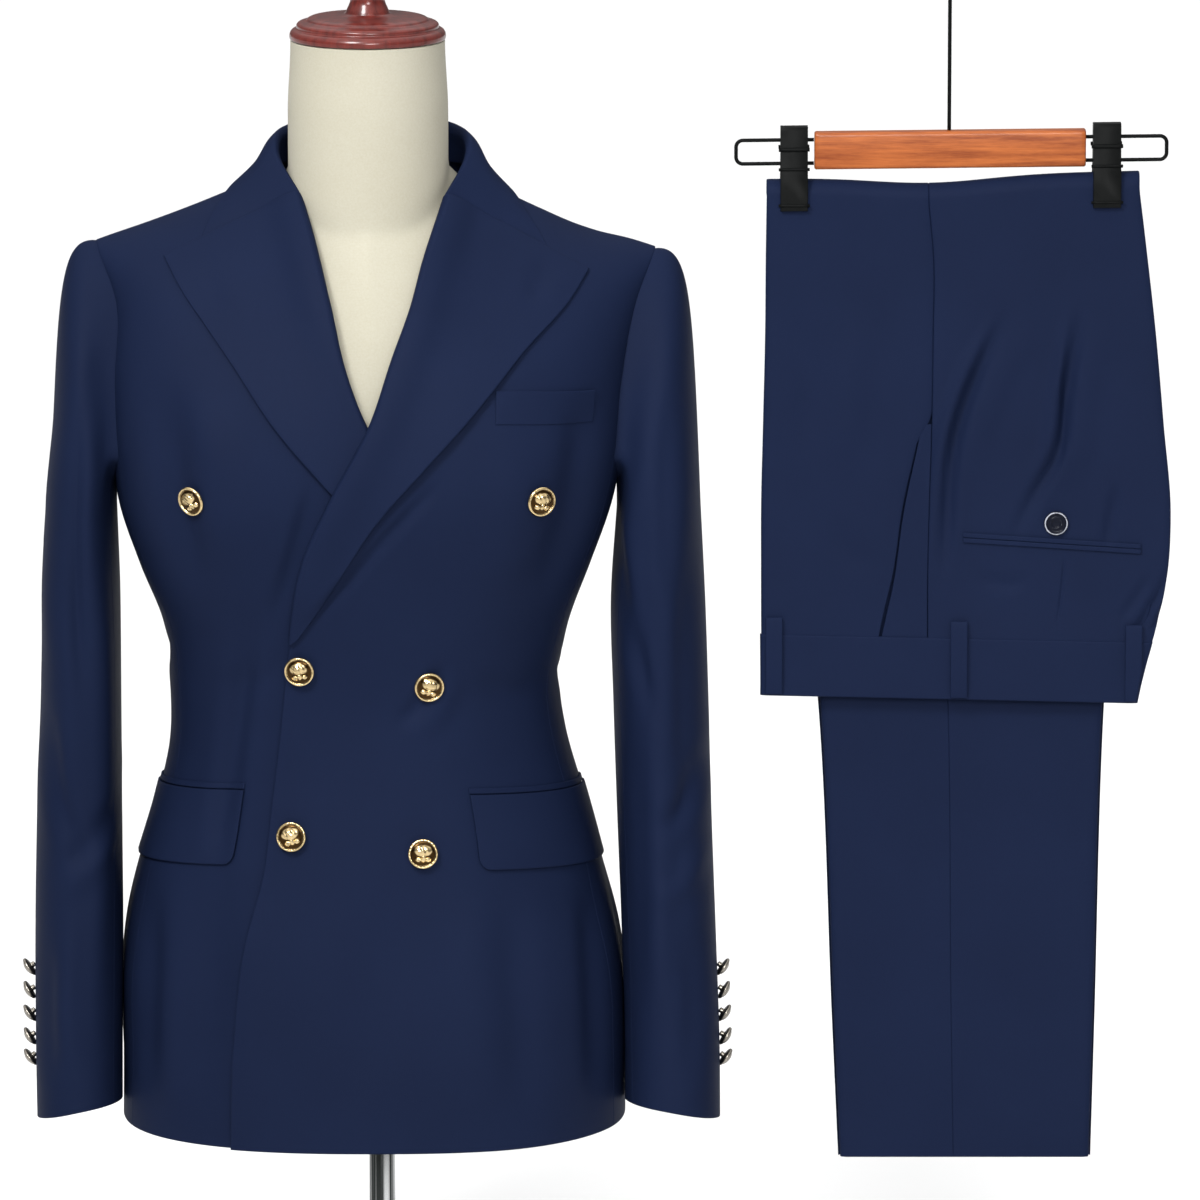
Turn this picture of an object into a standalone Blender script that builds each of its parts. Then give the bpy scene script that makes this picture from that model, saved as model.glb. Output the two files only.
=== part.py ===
"""A two-piece suit: a double-breasted jacket on a limbless dress form, with its trousers folded
over a clip hanger beside it.

Sizes are in millimetres and become metres where a mesh is made. +Z is up, the wearer faces -Y, the
wearer's right is -X, and the origin is the centre of the stand's underside.
"""

import math

import bpy
import numpy as np
from mathutils import Vector

# ------------------------------------------------------------------------------------------------
# Driving sizes, mm
# ------------------------------------------------------------------------------------------------
METRE = 0.001
RIGHT, LEFT = -1, 1  # the wearer's sides
CLOTH = 2.0  # wall of the cloth
SEAM = 0.3  # gap between two sewn pieces
LAY = 0.4  # gap between two layers that lie on each other

HEM_Z = 232.0
CHEST_Z = 700.0  # below it the jacket hangs straight, above it the shoulders close it
UNDERARM_Z = 712.0
UNDERARM_RISE = 23.0  # how far the armhole climbs to the side seams
NAPE_Z = 937.0
RIDGE_Y = 8.0  # the shoulder line
RIDGE_TOP, RIDGE_SLOPE, RIDGE_MID = 967.0, 0.38, -5.0
NECK_RISE, NECK_REACH = 27.0, 80.0  # the shoulder line rises to the neck inside this reach
# x, and how far the shoulder line dips there
DIP = ((-215, 1.2), (-200, 1.6), (-170, 2.7), (-140, 2.7), (-110, 1.8), (-75, 0.7), (-30, 0), (0, 0),
       (60, 1.5), (90, 5), (121, 8), (142, 9.5), (160, 9), (185, 5.5), (215, 3.5))  # fmt: skip
SIDE_SEAM = math.radians(66)  # turn of the front and back side seams from centre front, centre back
FRONT_ROUND = (1.9, 0.74)  # how the chest rounds up to the shoulder line
BACK_ROUND = (1.9, 0.67)
ROUNDER = 0.17  # by which the second number is less at the ends of the shoulders

TORSO_COLUMNS = ("z", "mid", "half", "front", "back", "square")
TORSO = (
    (225, -5.5, 187.5, 140, 128, 2.50),
    (290, -5.2, 187.0, 137, 126, 2.50),
    (344, -6.2, 185.7, 132, 122, 2.50),
    (424, -7.7, 171.7, 124, 112, 2.40),
    (470, -7.0, 159.0, 119, 104, 2.35),
    (524, -9.2, 146.2, 114, 97, 2.30),
    (560, -11.5, 144.0, 113, 94, 2.30),
    (600, -10.0, 148.5, 117, 96, 2.40),
    (651, -10.5, 167.0, 126, 102, 2.50),
    (696, -10.0, 182.0, 133, 108, 2.60),
    (735, -8.5, 188.5, 136, 112, 2.70),
    (790, -7.0, 193.0, 138, 116, 2.70),
    (850, -1.0, 199.0, 138, 118, 2.70),
    (892, -1.0, 216.0, 138, 118, 2.70),
    (990, -1.0, 216.0, 138, 118, 2.70),
)
# Heights of the panels' rows: even up to the chest, then closer
LOWER_ROWS, UPPER_ROWS = 10, 7
START_Z, ROUNDS = 900.0, 12  # where a height that depends on its own x starts, and how often it is refined
STATIONS = np.concatenate([np.linspace(HEM_Z, CHEST_Z, LOWER_ROWS + 1), np.arange(CHEST_Z + 8, 996, 8)])

# ------------------------------------------------------------------------------------------------
# Curves and the jacket's surface
# ------------------------------------------------------------------------------------------------
def smooth(at, places, values):
    """A smooth curve through (places, values), read at the given places."""
    at = np.asarray(at, float)
    places, values = np.asarray(places, float), np.asarray(values, float)
    slope = np.gradient(values, places)
    i = np.clip(np.searchsorted(places, at) - 1, 0, len(places) - 2)
    step = places[i + 1] - places[i]
    t = np.clip((at - places[i]) / step, 0, 1)
    ends = values[i] * (1 + 2 * t) * (1 - t) ** 2 + values[i + 1] * t**2 * (3 - 2 * t)
    return ends + step * (slope[i] * t * (1 - t) ** 2 + slope[i + 1] * t**2 * (t - 1))


def torso(name, z):
    """A size of the torso at a height: smooth from row to row, straight from one station to the next."""
    rows = np.array(TORSO, float)
    at_stations = smooth(STATIONS, rows[:, 0], rows[:, TORSO_COLUMNS.index(name)])
    return np.interp(z, STATIONS, at_stations)


def ease(t):
    t = np.clip(t, 0, 1)
    return t * t * (3 - 2 * t)


def ridge(x):
    """Height of the shoulder line above x."""
    out = np.abs(x - RIDGE_MID)
    neck = np.clip(1 - (out / NECK_REACH) ** 2, 0, None) ** 2
    return RIDGE_TOP - RIDGE_SLOPE * out + NECK_RISE * neck - dip(x)


def dip(x):
    return smooth(x, *np.transpose(DIP))


def rounding(x, z, form):
    """Share of the full depth that the jacket has at x, z: 0 on the shoulder line, 1 at the chest."""
    top = ridge(x)
    t = np.clip((top - z) / (top - CHEST_Z), 0, 1)
    power, root = form
    return (1 - (1 - t) ** power) ** (root - rounder(x))


def rounder(x):
    return ROUNDER * ease((np.abs(x - RIDGE_MID) - 90) / 90)


def body(turn, z):
    """The jacket's outer surface at a turn from centre front, + to the wearer's left, and a height."""
    turn, z = np.broadcast_arrays(np.asarray(turn, float), np.asarray(z, float))
    square = torso("square", z)
    s, c = np.sin(turn), np.cos(turn)
    r = (np.abs(s) ** square + np.abs(c) ** square) ** (-1 / square)
    x = torso("mid", z) + torso("half", z) * r * s
    front = torso("front", z) * rounding(x, z, FRONT_ROUND)
    back = torso("back", z) * rounding(x, z, BACK_ROUND)
    y = RIDGE_Y - np.where(c > 0, front, back) * r * c
    return np.stack([x, y, z], -1)


def turn_at(x, z):
    """The turn at which the front has the given x."""
    square = torso("square", z)
    share = np.clip((x - torso("mid", z)) / torso("half", z), -0.9995, 0.9995)
    return np.arctan2(share, (1 - np.abs(share) ** square) ** (1 / square))


def body_normal(turn, z):
    """Unit normal of the jacket's surface, turning straight up on the shoulder line."""
    turn, z = np.broadcast_arrays(np.asarray(turn, float), np.asarray(z, float))
    across = body(turn + 0.01, z) - body(turn - 0.01, z)
    along = body(turn, z) - body(turn, z - 2)
    n = np.cross(across, along)
    n /= np.linalg.norm(n, axis=-1, keepdims=True)
    x = body(turn, z)[..., 0]
    near = np.exp(-np.clip(ridge(x) - z, 0, None) / 4)[..., None]
    up = np.stack([ridge(x - 1) - ridge(x + 1), np.zeros_like(x), np.full_like(x, 2.0)], -1)
    n = n * (1 - near) + near * up / np.linalg.norm(up, axis=-1, keepdims=True)
    return n / np.linalg.norm(n, axis=-1, keepdims=True)


def on_front(x, z, lift):
    """A point of the jacket's front at x, z, moved out by lift."""
    turn = turn_at(x, z)
    return body(turn, z) + body_normal(turn, z) * np.asarray(lift)[..., None]


# ------------------------------------------------------------------------------------------------
# Solids
# ------------------------------------------------------------------------------------------------
def material(name, colour, roughness, metallic=0.0):
    made = bpy.data.materials.get(name) or bpy.data.materials.new(name)
    made.use_nodes = True
    shader = made.node_tree.nodes["Principled BSDF"]
    shader.inputs["Base Color"].default_value = (*colour, 1)
    shader.inputs["Roughness"].default_value = roughness
    shader.inputs["Metallic"].default_value = metallic
    return made


def solid(name, points, faces, finish):
    """A named closed object; its faces are turned outwards if they point in."""
    points = np.asarray(points, float)
    volume = 0.0
    for face in faces:
        for a, b in zip(face[1:-1], face[2:]):
            volume += np.dot(points[face[0]], np.cross(points[a], points[b]))
    if volume < 0:
        faces = [face[::-1] for face in faces]
    mesh = bpy.data.meshes.new(name)
    mesh.from_pydata((points * METRE).tolist(), [], [list(map(int, f)) for f in faces])
    mesh.shade_smooth()
    mesh.set_sharp_from_angle(angle=math.radians(40))
    mesh.materials.append(finish)
    made = bpy.data.objects.new(name, mesh)
    bpy.context.scene.collection.objects.link(made)
    return made


def wall(name, outer, inner, finish):
    """A sheet of cloth: two grids of points, one on each face, joined round their border."""
    rows, columns = outer.shape[:2]
    points = np.concatenate([outer.reshape(-1, 3), inner.reshape(-1, 3)])
    at = np.arange(rows * columns).reshape(rows, columns)
    other = at + rows * columns
    faces = []
    for i in range(rows - 1):
        for j in range(columns - 1):
            faces.append((at[i, j], at[i + 1, j], at[i + 1, j + 1], at[i, j + 1]))
            faces.append((other[i, j], other[i, j + 1], other[i + 1, j + 1], other[i + 1, j]))
    border = [(i, 0) for i in range(rows)]
    border += [(rows - 1, j) for j in range(1, columns)]
    border += [(i, columns - 1) for i in range(rows - 2, -1, -1)]
    border += [(0, j) for j in range(columns - 2, 0, -1)]
    for a, b in zip(border, border[1:] + border[:1]):
        faces.append((at[b], at[a], other[a], other[b]))
    return solid(name, points, faces, finish)


def loft(name, rings, finish):
    """A closed solid through rings of points, with a flat cap at each end."""
    count, size = rings.shape[:2]
    faces = [tuple(range(size))[::-1], tuple(range((count - 1) * size, count * size))]
    for i in range(count - 1):
        for j in range(size):
            k = (j + 1) % size
            faces.append((i * size + j, i * size + k, (i + 1) * size + k, (i + 1) * size + j))
    return solid(name, rings.reshape(-1, 3), faces, finish)


def turned(name, profile, segments, finish):
    """A turned solid about Z from (radius, height) points whose two ends are on the axis."""
    middle = profile[1:-1]
    points = [(0, 0, profile[0][1])]
    for radius, height in middle:
        for k in range(segments):
            a = 2 * math.pi * k / segments
            points.append((radius * math.cos(a), radius * math.sin(a), height))
    points.append((0, 0, profile[-1][1]))
    last = len(points) - 1
    faces = []
    for k in range(segments):
        n = (k + 1) % segments
        faces.append((0, 1 + n, 1 + k))
        for i in range(len(middle) - 1):
            a, b = 1 + i * segments, 1 + (i + 1) * segments
            faces.append((a + k, a + n, b + n, b + k))
        top = 1 + (len(middle) - 1) * segments
        faces.append((last, top + k, top + n))
    return solid(name, points, faces, finish)


def tube(name, path, radius, sides, finish):
    """A wire along a path that stays in a plane y = constant."""
    path = np.asarray(path, float)
    along = np.gradient(path, axis=0)
    along /= np.linalg.norm(along, axis=1, keepdims=True)
    over = np.array([0.0, 1.0, 0.0])
    across = np.cross(along, over)
    rings = []
    for k in range(sides):
        a = 2 * math.pi * (k + 0.5) / sides
        rings.append(path + radius * (math.cos(a) * across + math.sin(a) * over))
    return loft(name, np.stack(rings, 1), finish)


def shares(count, ends=(0.0, 1.0)):
    return np.linspace(*ends, count + 1)


# ------------------------------------------------------------------------------------------------
# Jacket: fronts, sides and backs
# ------------------------------------------------------------------------------------------------
# Front edge of each front, hem to gorge, which turns into the roll line of its lapel: z, x
OVER_EDGE = ((225, -106.9), (314, -103.6), (376.7, -96.9), (441, -81.3), (483.6, -76.1), (528.5, -70.5),
             (605, -62.6), (677, -52), (720.6, -32), (773.2, -4), (819.6, 12), (854.7, 25), (883.5, 33.5),
             (935, 51.5))  # fmt: skip
UNDER_EDGE = ((225, 95), (444, 71), (606, 57.5), (694, 39.2), (725, 23.6), (774.5, -6.5), (813.4, -21.5),
              (856.9, -33), (909.8, -48.2), (935, -57.5))  # fmt: skip
EDGES = {LEFT: OVER_EDGE, RIGHT: UNDER_EDGE}
OVER_LIFT = CLOTH * 2 + 2.8  # the left front lies over the right front and its lapel
OVER_FADE = 90.0  # the lift is gone at the side seam
OVER_TOP, OVER_TOP_FADE = 900.0, 110.0
GORGE_Z, GORGE_SLOPE = 936.6, 0.58
NECK_OUT = 75.0  # half of the neck opening on the shoulder line
SEAM_TURN = 0.0013
CLOSING = 1.6


def side_x(side, z):
    return body(side * SIDE_SEAM, z)[..., 0]


def over_lift(x, z):
    """How far the left front stands out from the jacket's surface."""
    across = ease((side_x(LEFT, z) - x) / OVER_FADE)
    return OVER_LIFT * across * ease((OVER_TOP - z) / OVER_TOP_FADE)


def front_lift(side, x, z):
    return over_lift(x, z) if side == LEFT else np.zeros_like(x)


def climb(v, low, chest, top):
    """Heights of a panel's rows: even up to the chest, then closing up towards the top."""
    upper = np.clip(2 * v - 1, 0, 1)
    above = chest + (top - chest) * (1 - (1 - upper) ** CLOSING)
    return np.where(v < 0.5, low + (chest - low) * 2 * v, above)


def front_top(x):
    out = np.abs(x - RIDGE_MID)
    gorge = GORGE_Z - GORGE_SLOPE * (NECK_REACH - out)
    return np.where(out < NECK_REACH, np.minimum(ridge(x), gorge), ridge(x))


def back_top(x):
    out = np.abs(x - RIDGE_MID)
    neck = NAPE_Z + (ridge(RIDGE_MID + NECK_OUT) - NAPE_Z) * (out / NECK_OUT) ** 2
    return np.where(out < NECK_OUT, np.minimum(neck, ridge(x)), ridge(x))


def front_surface(side, u, v):
    edge = np.array(EDGES[side], float)
    far = side * (SIDE_SEAM - SEAM_TURN)
    top = np.full(np.shape(u), START_Z)
    for _ in range(ROUNDS):
        near = turn_at(smooth(top, edge[:, 0], edge[:, 1]), top)
        top = front_top(body(near + (far - near) * u, top)[..., 0])
    z = climb(v, HEM_Z, CHEST_Z, top)
    near = turn_at(smooth(z, edge[:, 0], edge[:, 1]), z)
    return near + (far - near) * u, z


def panel_rows():
    return np.concatenate([shares(LOWER_ROWS, (0, 0.5)), shares(UPPER_ROWS, (0.5, 1))[1:]])


def make_front(side, name, columns, finish):
    u, v = np.meshgrid(shares(columns), panel_rows(), indexing="ij")
    turn, z = front_surface(side, u, v)
    n = body_normal(turn, z)
    base = body(turn, z)
    base[..., 1] -= SEAM / 2 * v**6
    lift = front_lift(side, base[..., 0], z)[..., None]
    return wall(name, base + n * lift, base + n * (lift - CLOTH), finish)


def make_back(side, name, columns, finish):
    u, v = np.meshgrid(shares(columns), panel_rows(), indexing="ij")
    near = side * (math.pi - SIDE_SEAM + SEAM_TURN)
    far = side * (math.pi - SEAM_TURN * 0.9)
    turn = near + (far - near) * u
    top = np.full(u.shape, START_Z)
    for _ in range(ROUNDS):
        top = back_top(body(turn, top)[..., 0])
    z = climb(v, HEM_Z, CHEST_Z, top)
    n = body_normal(turn, z)
    base = body(turn, z)
    base[..., 1] += SEAM / 2 * v**6
    return wall(name, base, base - n * CLOTH, finish)


def underarm(turn):
    """Height of the side's top edge, which is the bottom of the armhole."""
    out = (np.abs(turn) - math.pi / 2) / (math.pi / 2 - SIDE_SEAM)
    return UNDERARM_Z + UNDERARM_RISE * out**2


def make_side(side, name, columns, finish):
    near, far = side * (SIDE_SEAM + SEAM_TURN), side * (math.pi - SIDE_SEAM - SEAM_TURN)
    u, v = np.meshgrid(shares(columns), shares(LOWER_ROWS + 1), indexing="ij")
    turn = near + (far - near) * u
    rows = np.append(STATIONS[: LOWER_ROWS + 1], 0)
    z = np.broadcast_to(rows, u.shape).copy()
    z[:, -1] = underarm(turn[:, 0])
    base = body(turn, z)
    return wall(name, base, base - body_normal(turn, z) * CLOTH, finish)


# ------------------------------------------------------------------------------------------------
# Jacket: lapels and collar
# ------------------------------------------------------------------------------------------------
# Front view of each lapel, bottom to top: its roll line and its outer edge up to the peak
OVER_ROLL = ((-60.3, 611), (-51.7, 677), (-31.6, 720.6), (-3.7, 773.2), (12.1, 819.6), (25.1, 854.7),
             (33.4, 883.5), (49, 927))  # fmt: skip
OVER_LAPEL = ((-56.2, 614.5), (-32.7, 650.1), (-2, 699.3), (32, 737.9), (65.6, 773.4), (107.3, 820.4),
              (141.6, 854.7), (154.4, 872.8))  # fmt: skip
UNDER_ROLL = ((56.2, 607), (39.2, 694), (23.6, 725), (-6.5, 774.5), (-21.5, 813.4), (-33, 856.9),
              (-48.2, 909.8), (-55.5, 929))  # fmt: skip
UNDER_LAPEL = ((51.9, 610), (14.6, 671.9), (-39.2, 731.4), (-73.7, 770.5), (-102.9, 810.6),
               (-125.1, 839), (-140.2, 858.1), (-155.7, 882.4))  # fmt: skip
LAPELS = {LEFT: (OVER_ROLL, OVER_LAPEL), RIGHT: (UNDER_ROLL, UNDER_LAPEL)}
ROLL_PUFF, ROLL_AT, ROLL_WIDE = 3.0, 10.0, 14.0  # soft roll beside the roll line
UNDER_PUFF = (800.0, 860.0)  # the right lapel's roll is flat below the first height, under the left front
LAPEL_LAY = 1.1
NOTCH_SHARE = 0.75  # the collar meets the lapel along this share of the gorge and peak line


def along(points, share):
    """A smooth curve through front-view points, read at shares of its length."""
    points = np.array(points, float)
    step = np.linalg.norm(np.diff(points, axis=0), axis=1)
    at = np.concatenate([[0], np.cumsum(step)]) / step.sum()
    return smooth(share, at, points[:, 0]), smooth(share, at, points[:, 1])


def lapel_point(side, u, v, lift):
    """u runs from the roll line to the outer edge, v from the lapel's foot to the gorge."""
    roll, edge = LAPELS[side]
    roll_x, roll_z = along(roll, v)
    edge_x, edge_z = along(edge, v)
    x = roll_x + (edge_x - roll_x) * u
    z = roll_z + (edge_z - roll_z) * u
    out = np.hypot(edge_x - roll_x, edge_z - roll_z) * u
    puff = ROLL_PUFF * np.exp(-(((out - ROLL_AT) / ROLL_WIDE) ** 2))
    if side == RIGHT:
        puff = puff * ease((z - UNDER_PUFF[0]) / (UNDER_PUFF[1] - UNDER_PUFF[0]))
    return on_front(x, z, front_lift(side, x, z) + LAPEL_LAY + puff + lift)


def make_lapel(side, name, finish):
    u, v = np.meshgrid(shares(7), shares(15), indexing="ij")
    return wall(name, lapel_point(side, u, v, CLOTH), lapel_point(side, u, v, 0.0), finish)


COLLAR_MID = -4.0
# Half of the collar, centre back to front: share of its length, then x, y, z of the foot of its
# stand, x, y, z of its fold and x, y of its outer edge
COLLAR = (
    (0.00, 0, 66, 939.5, 0, 70, 974, 0, 79.5),
    (0.25, 34, 59, 940, 33, 63, 973, 44, 66),
    (0.50, 60, 33, 943, 62, 36, 971, 82, 40),
    (0.68, 69.5, 8, 945, 71.5, 8, 967, 100, 8),
    (0.84, 66.5, -9, 941, 69, -10, 953, 117, -17),
)
FOLD_RADIUS, FOLD_TIGHTER, FOLD_HIGH = 3.4, 0.35, 0.8
COLLAR_LAY = 3.0
GORGE_LIFT = 1.3  # the collar's front end clears the lapel's top by this and a seam
FOLD_END, FOOT_END = (0.5, 0.0, 2.5), (1.0, 1.5, -3.5)  # steps inwards, back and up at the front end
BLEND_FROM = 0.8
LEAF_BULGE, LEAF_HOLLOW = 2.5, 4.2  # the collar's leaf is full at the back and hollow at the sides
COLLAR_STEPS = 13


def height(x, y):
    """Height of the jacket's surface above a point of the plan, near the shoulders."""
    z = np.full(np.shape(x), START_Z)
    power, root = FRONT_ROUND if np.all(y < RIDGE_Y) else BACK_ROUND
    for _ in range(ROUNDS):
        share = np.clip(np.abs(x - torso("mid", z)) / torso("half", z), 0, 0.999)
        full = np.where(y < RIDGE_Y, torso("front", z), torso("back", z))
        full = full * (1 - share ** torso("square", z)) ** (1 / torso("square", z))
        depth = np.clip(np.abs(y - RIDGE_Y) / full, 0, 1)
        t = 1 - (1 - depth ** (1 / (root - rounder(x)))) ** (1 / power)
        z = ridge(x) - t * (ridge(x) - CHEST_Z)
    return z


def collar_rows(side):
    """Cross-sections of half the collar, centre back to front end: points from stand to outer edge."""
    rows = np.array(COLLAR, float)
    at = np.append(rows[:, 0], 1.0)
    gorge = lapel_point(side, shares(2, (0, NOTCH_SHARE)), np.ones(3), CLOTH)
    gorge[:, 2] += SEAM + GORGE_LIFT
    fold_end, half_end, edge_end = gorge
    fold_end = fold_end + np.multiply(FOLD_END, (-side, 1, 1))
    foot_end = fold_end + np.multiply(FOOT_END, (-side, 1, 1))
    ends = {"foot": foot_end, "fold": fold_end, "edge": edge_end}
    curves = {}
    share = shares(COLLAR_STEPS - 1)
    for name, first in (("foot", 1), ("fold", 4), ("edge", 7)):
        x = COLLAR_MID + side * rows[:, first]
        y = rows[:, first + 1]
        if name == "edge":
            z = np.array([float(height(a, b)) for a, b in zip(x, y)]) + COLLAR_LAY + CLOTH
        else:
            z = rows[:, first + 2] - dip(x)
        points = np.vstack([np.stack([x, y, z], 1), ends[name]])
        curves[name] = np.stack([smooth(share, at, points[:, k]) for k in range(3)], 1)
    foot, fold, edge = curves["foot"], curves["fold"], curves["edge"]
    out = edge - fold
    out[:, 2] = 0
    out /= np.linalg.norm(out, axis=1, keepdims=True)
    up = np.array([0.0, 0.0, 1.0])
    tight = FOLD_RADIUS * (1 - FOLD_TIGHTER * share[:, None] ** 3)
    inner = fold - out * tight - up * tight
    outer = fold + out * tight - up * tight * FOLD_HIGH
    bulge = (out * 0.6 + up * 0.8) * (LEAF_BULGE - LEAF_HOLLOW * ease(share[:, None] * 2))
    middle = (outer + edge) / 2 + bulge
    blend = ease((share[:, None] - BLEND_FROM) / (1 - BLEND_FROM))
    middle = middle * (1 - blend) + (half_end + up * SEAM) * blend
    return np.stack([foot, (foot + inner) / 2, inner, fold, outer, middle, edge], 1)


def make_collar(finish):
    right, left = collar_rows(RIGHT), collar_rows(LEFT)
    grid = np.concatenate([right[::-1], left[1:]])
    across = np.gradient(grid, axis=0)
    down = np.gradient(grid, axis=1)
    n = np.cross(across, down)
    n /= np.linalg.norm(n, axis=-1, keepdims=True)
    if n[COLLAR_STEPS - 1, 3, 2] < 0:
        n = -n
    return wall("jacket_collar", grid, grid - n * CLOTH, finish)


# ------------------------------------------------------------------------------------------------
# Jacket: sleeves
# ------------------------------------------------------------------------------------------------
# z, inner and outer x of the right sleeve, inner and outer x of the left one, y of the middle, half depth
SLEEVE = (
    (225, -192.4, -255.5, 181.5, 252.5, -30, 54),
    (290, -192.2, -256.5, 181.2, 252.0, -22, 56),
    (360, -191.6, -256.8, 179.5, 249.6, -12, 59),
    (472, -192.4, -254.8, 175.2, 245.5, 4, 65),
    (545, -192.5, -252.0, 172.8, 243.5, 9, 69),
    (620, -192.5, -249.0, 171.0, 241.0, 10, 72),
    (690, -194.4, -243.0, 175.4, 237.5, 8, 74),
)
SLEEVE_TOP_Z = 690.0  # above it the sleeve's head turns in to the armhole
CUFF_Z, CUFF_TILT, CUFF_RISE = 241.0, 6.5, 8.0  # the cuff's edge is higher on the inside and in front
HEAD_OUT, HEAD_UP, HEAD_LEAN, HEAD_ROPE = 0.8, 0.82, 0.18, 4.0  # how full the sleeve's head is
SLEEVE_ROWS = (8, 6)  # of its straight part and of its head
RING_SQUARE = 2.2
TUBE_SHARE = 0.55
FORE_SEAM = math.radians(35)
HIND_CUFF, HIND_TOP, HIND_REACH = math.radians(196), math.radians(245), 0.8
ARMHOLE_GAP = 0.9
SLEEVE_SEAM_TURN = 0.0075


def armhole(side, angle):
    """The armhole's edge: 0 under the arm, a quarter at the front, a half on the shoulder."""
    low = np.linspace(math.pi / 2, SIDE_SEAM, 12)
    shoulder = float(body(side * SIDE_SEAM, START_Z - 10)[0])
    rise = np.linspace(UNDERARM_Z + UNDERARM_RISE, float(ridge(shoulder)), 60)[1:]
    front = np.vstack([body(side * low, underarm(low)), body(side * SIDE_SEAM, rise)])
    back_low = math.pi - low
    back_side = side * (math.pi - SIDE_SEAM)
    back = np.vstack([body(side * back_low, underarm(back_low)), body(back_side, rise)])
    ring = np.vstack([front, back[::-1][1:-1]])
    middle_z = (ring[:, 2].max() + ring[:, 2].min()) / 2
    high = (ring[:, 2].max() - ring[:, 2].min()) / 2
    ahead = RIDGE_Y - ring[:, 1]
    wide = np.where(ahead > 0, ahead.max(), -ahead.min())
    turns = np.arctan2(ahead / wide, (middle_z - ring[:, 2]) / high) % (2 * math.pi)
    order = np.argsort(turns)
    turns, ring = turns[order], ring[order]
    turns = np.concatenate([turns[-3:] - 2 * math.pi, turns, turns[:3] + 2 * math.pi])
    ring = np.vstack([ring[-3:], ring, ring[:3]])
    at = np.asarray(angle) % (2 * math.pi)
    return np.stack([np.interp(at, turns, ring[:, k]) for k in range(3)], -1)


def sleeve_ring(side, angle, z):
    rows = np.array(SLEEVE, float)
    first = 1 if side == RIGHT else 3
    inner, outer = smooth(z, rows[:, 0], rows[:, first]), smooth(z, rows[:, 0], rows[:, first + 1])
    y, deep = smooth(z, rows[:, 0], rows[:, 5]), smooth(z, rows[:, 0], rows[:, 6])
    s, c = np.sin(angle), np.cos(angle)
    r = (np.abs(s) ** RING_SQUARE + np.abs(c) ** RING_SQUARE) ** (-1 / RING_SQUARE)
    x = (inner + outer) / 2 + (inner - outer) / 2 * r * c
    return np.stack([x, y - deep * r * s, z + 0 * x], -1)


def sleeve(side, angle, v):
    """The sleeve's outer surface, v from the cuff to the armhole."""
    angle, v = np.broadcast_arrays(np.asarray(angle, float), np.asarray(v, float))
    cuff = CUFF_Z + CUFF_TILT * np.cos(angle) + CUFF_RISE * np.maximum(np.sin(angle), 0)
    low = cuff + (SLEEVE_TOP_Z - cuff) * np.clip(v / TUBE_SHARE, 0, 1)
    straight = sleeve_ring(side, angle, low)
    t = np.clip((v - TUBE_SHARE) / (1 - TUBE_SHARE), 0, 1)[..., None]
    start = sleeve_ring(side, angle, np.full(np.shape(v), SLEEVE_TOP_Z))
    end = armhole(side, angle)
    end[..., 0] += side * ARMHOLE_GAP
    up, out = np.zeros_like(end), np.zeros_like(end)
    up[..., 2] = (end[..., 2] - start[..., 2]) * HEAD_UP
    up[..., 0] = (end[..., 0] - start[..., 0]) * HEAD_LEAN
    out[..., 0] = (start[..., 0] - end[..., 0]) * HEAD_OUT
    out[..., 2] = HEAD_ROPE * (1 - np.cos(angle)) / 2
    a, b = start + up, end + out
    head = start * (1 - t) ** 3 + 3 * a * t * (1 - t) ** 2 + 3 * b * t**2 * (1 - t) + end * t**3
    return np.where(v[..., None] <= TUBE_SHARE, straight, head)


def fore_seam(v):
    return FORE_SEAM + 0 * v


def fore_seam_again(v):
    return FORE_SEAM + 2 * math.pi + 0 * v


def outer_line(v):
    return math.pi + 0 * v


def hind_seam(v):
    return HIND_CUFF + (HIND_TOP - HIND_CUFF) * ease(v / HIND_REACH)


def make_sleeve(side, name, stops, columns, finish):
    """One of the sleeve's two pieces; stops are angles that depend on v, with columns between them."""
    v = np.concatenate([shares(SLEEVE_ROWS[0], (0, TUBE_SHARE)), shares(SLEEVE_ROWS[1], (TUBE_SHARE, 1))[1:]])
    at = np.concatenate([[0], *(k + shares(n)[1:] for k, n in enumerate(columns))])
    u, v = np.meshgrid(at, v, indexing="ij")
    angles = np.stack([stop(v) for stop in stops])
    angles[0] += SLEEVE_SEAM_TURN
    angles[-1] -= SLEEVE_SEAM_TURN
    part = np.minimum(u.astype(int), len(columns) - 1)
    near = np.take_along_axis(angles, part[None], 0)[0]
    far = np.take_along_axis(angles, part[None] + 1, 0)[0]
    angle = near + (far - near) * (u - part)

    step = 4e-3
    across = sleeve(side, angle + step, v) - sleeve(side, angle - step, v)
    up = sleeve(side, angle, np.minimum(v + step, 1)) - sleeve(side, angle, np.maximum(v - step, 0))
    n = np.cross(across, up) * side
    n /= np.linalg.norm(n, axis=-1, keepdims=True)
    outer = sleeve(side, angle, v)
    return wall(name, outer, outer - n * CLOTH, finish)


# ------------------------------------------------------------------------------------------------
# Jacket: pockets and buttons
# ------------------------------------------------------------------------------------------------
FLAP_DEEP = 55.0
# side, x of the front end, z of the top there and at the side, turn of the side end in degrees
FLAPS = ((RIGHT, -97.4, 496.0, 481.0, 100.0), (LEFT, 65.5, 494.0, 479.5, 100.0))
JET_HIGH, JET_GAP, FLAP_JET_THICK = 5.0, 0.6, 1.4
FLAP_STEPS = (11, 3)
WELT = {"x": (85.4, 158.0), "top": (793.7, 790.4), "deep": 23.0}
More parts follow.
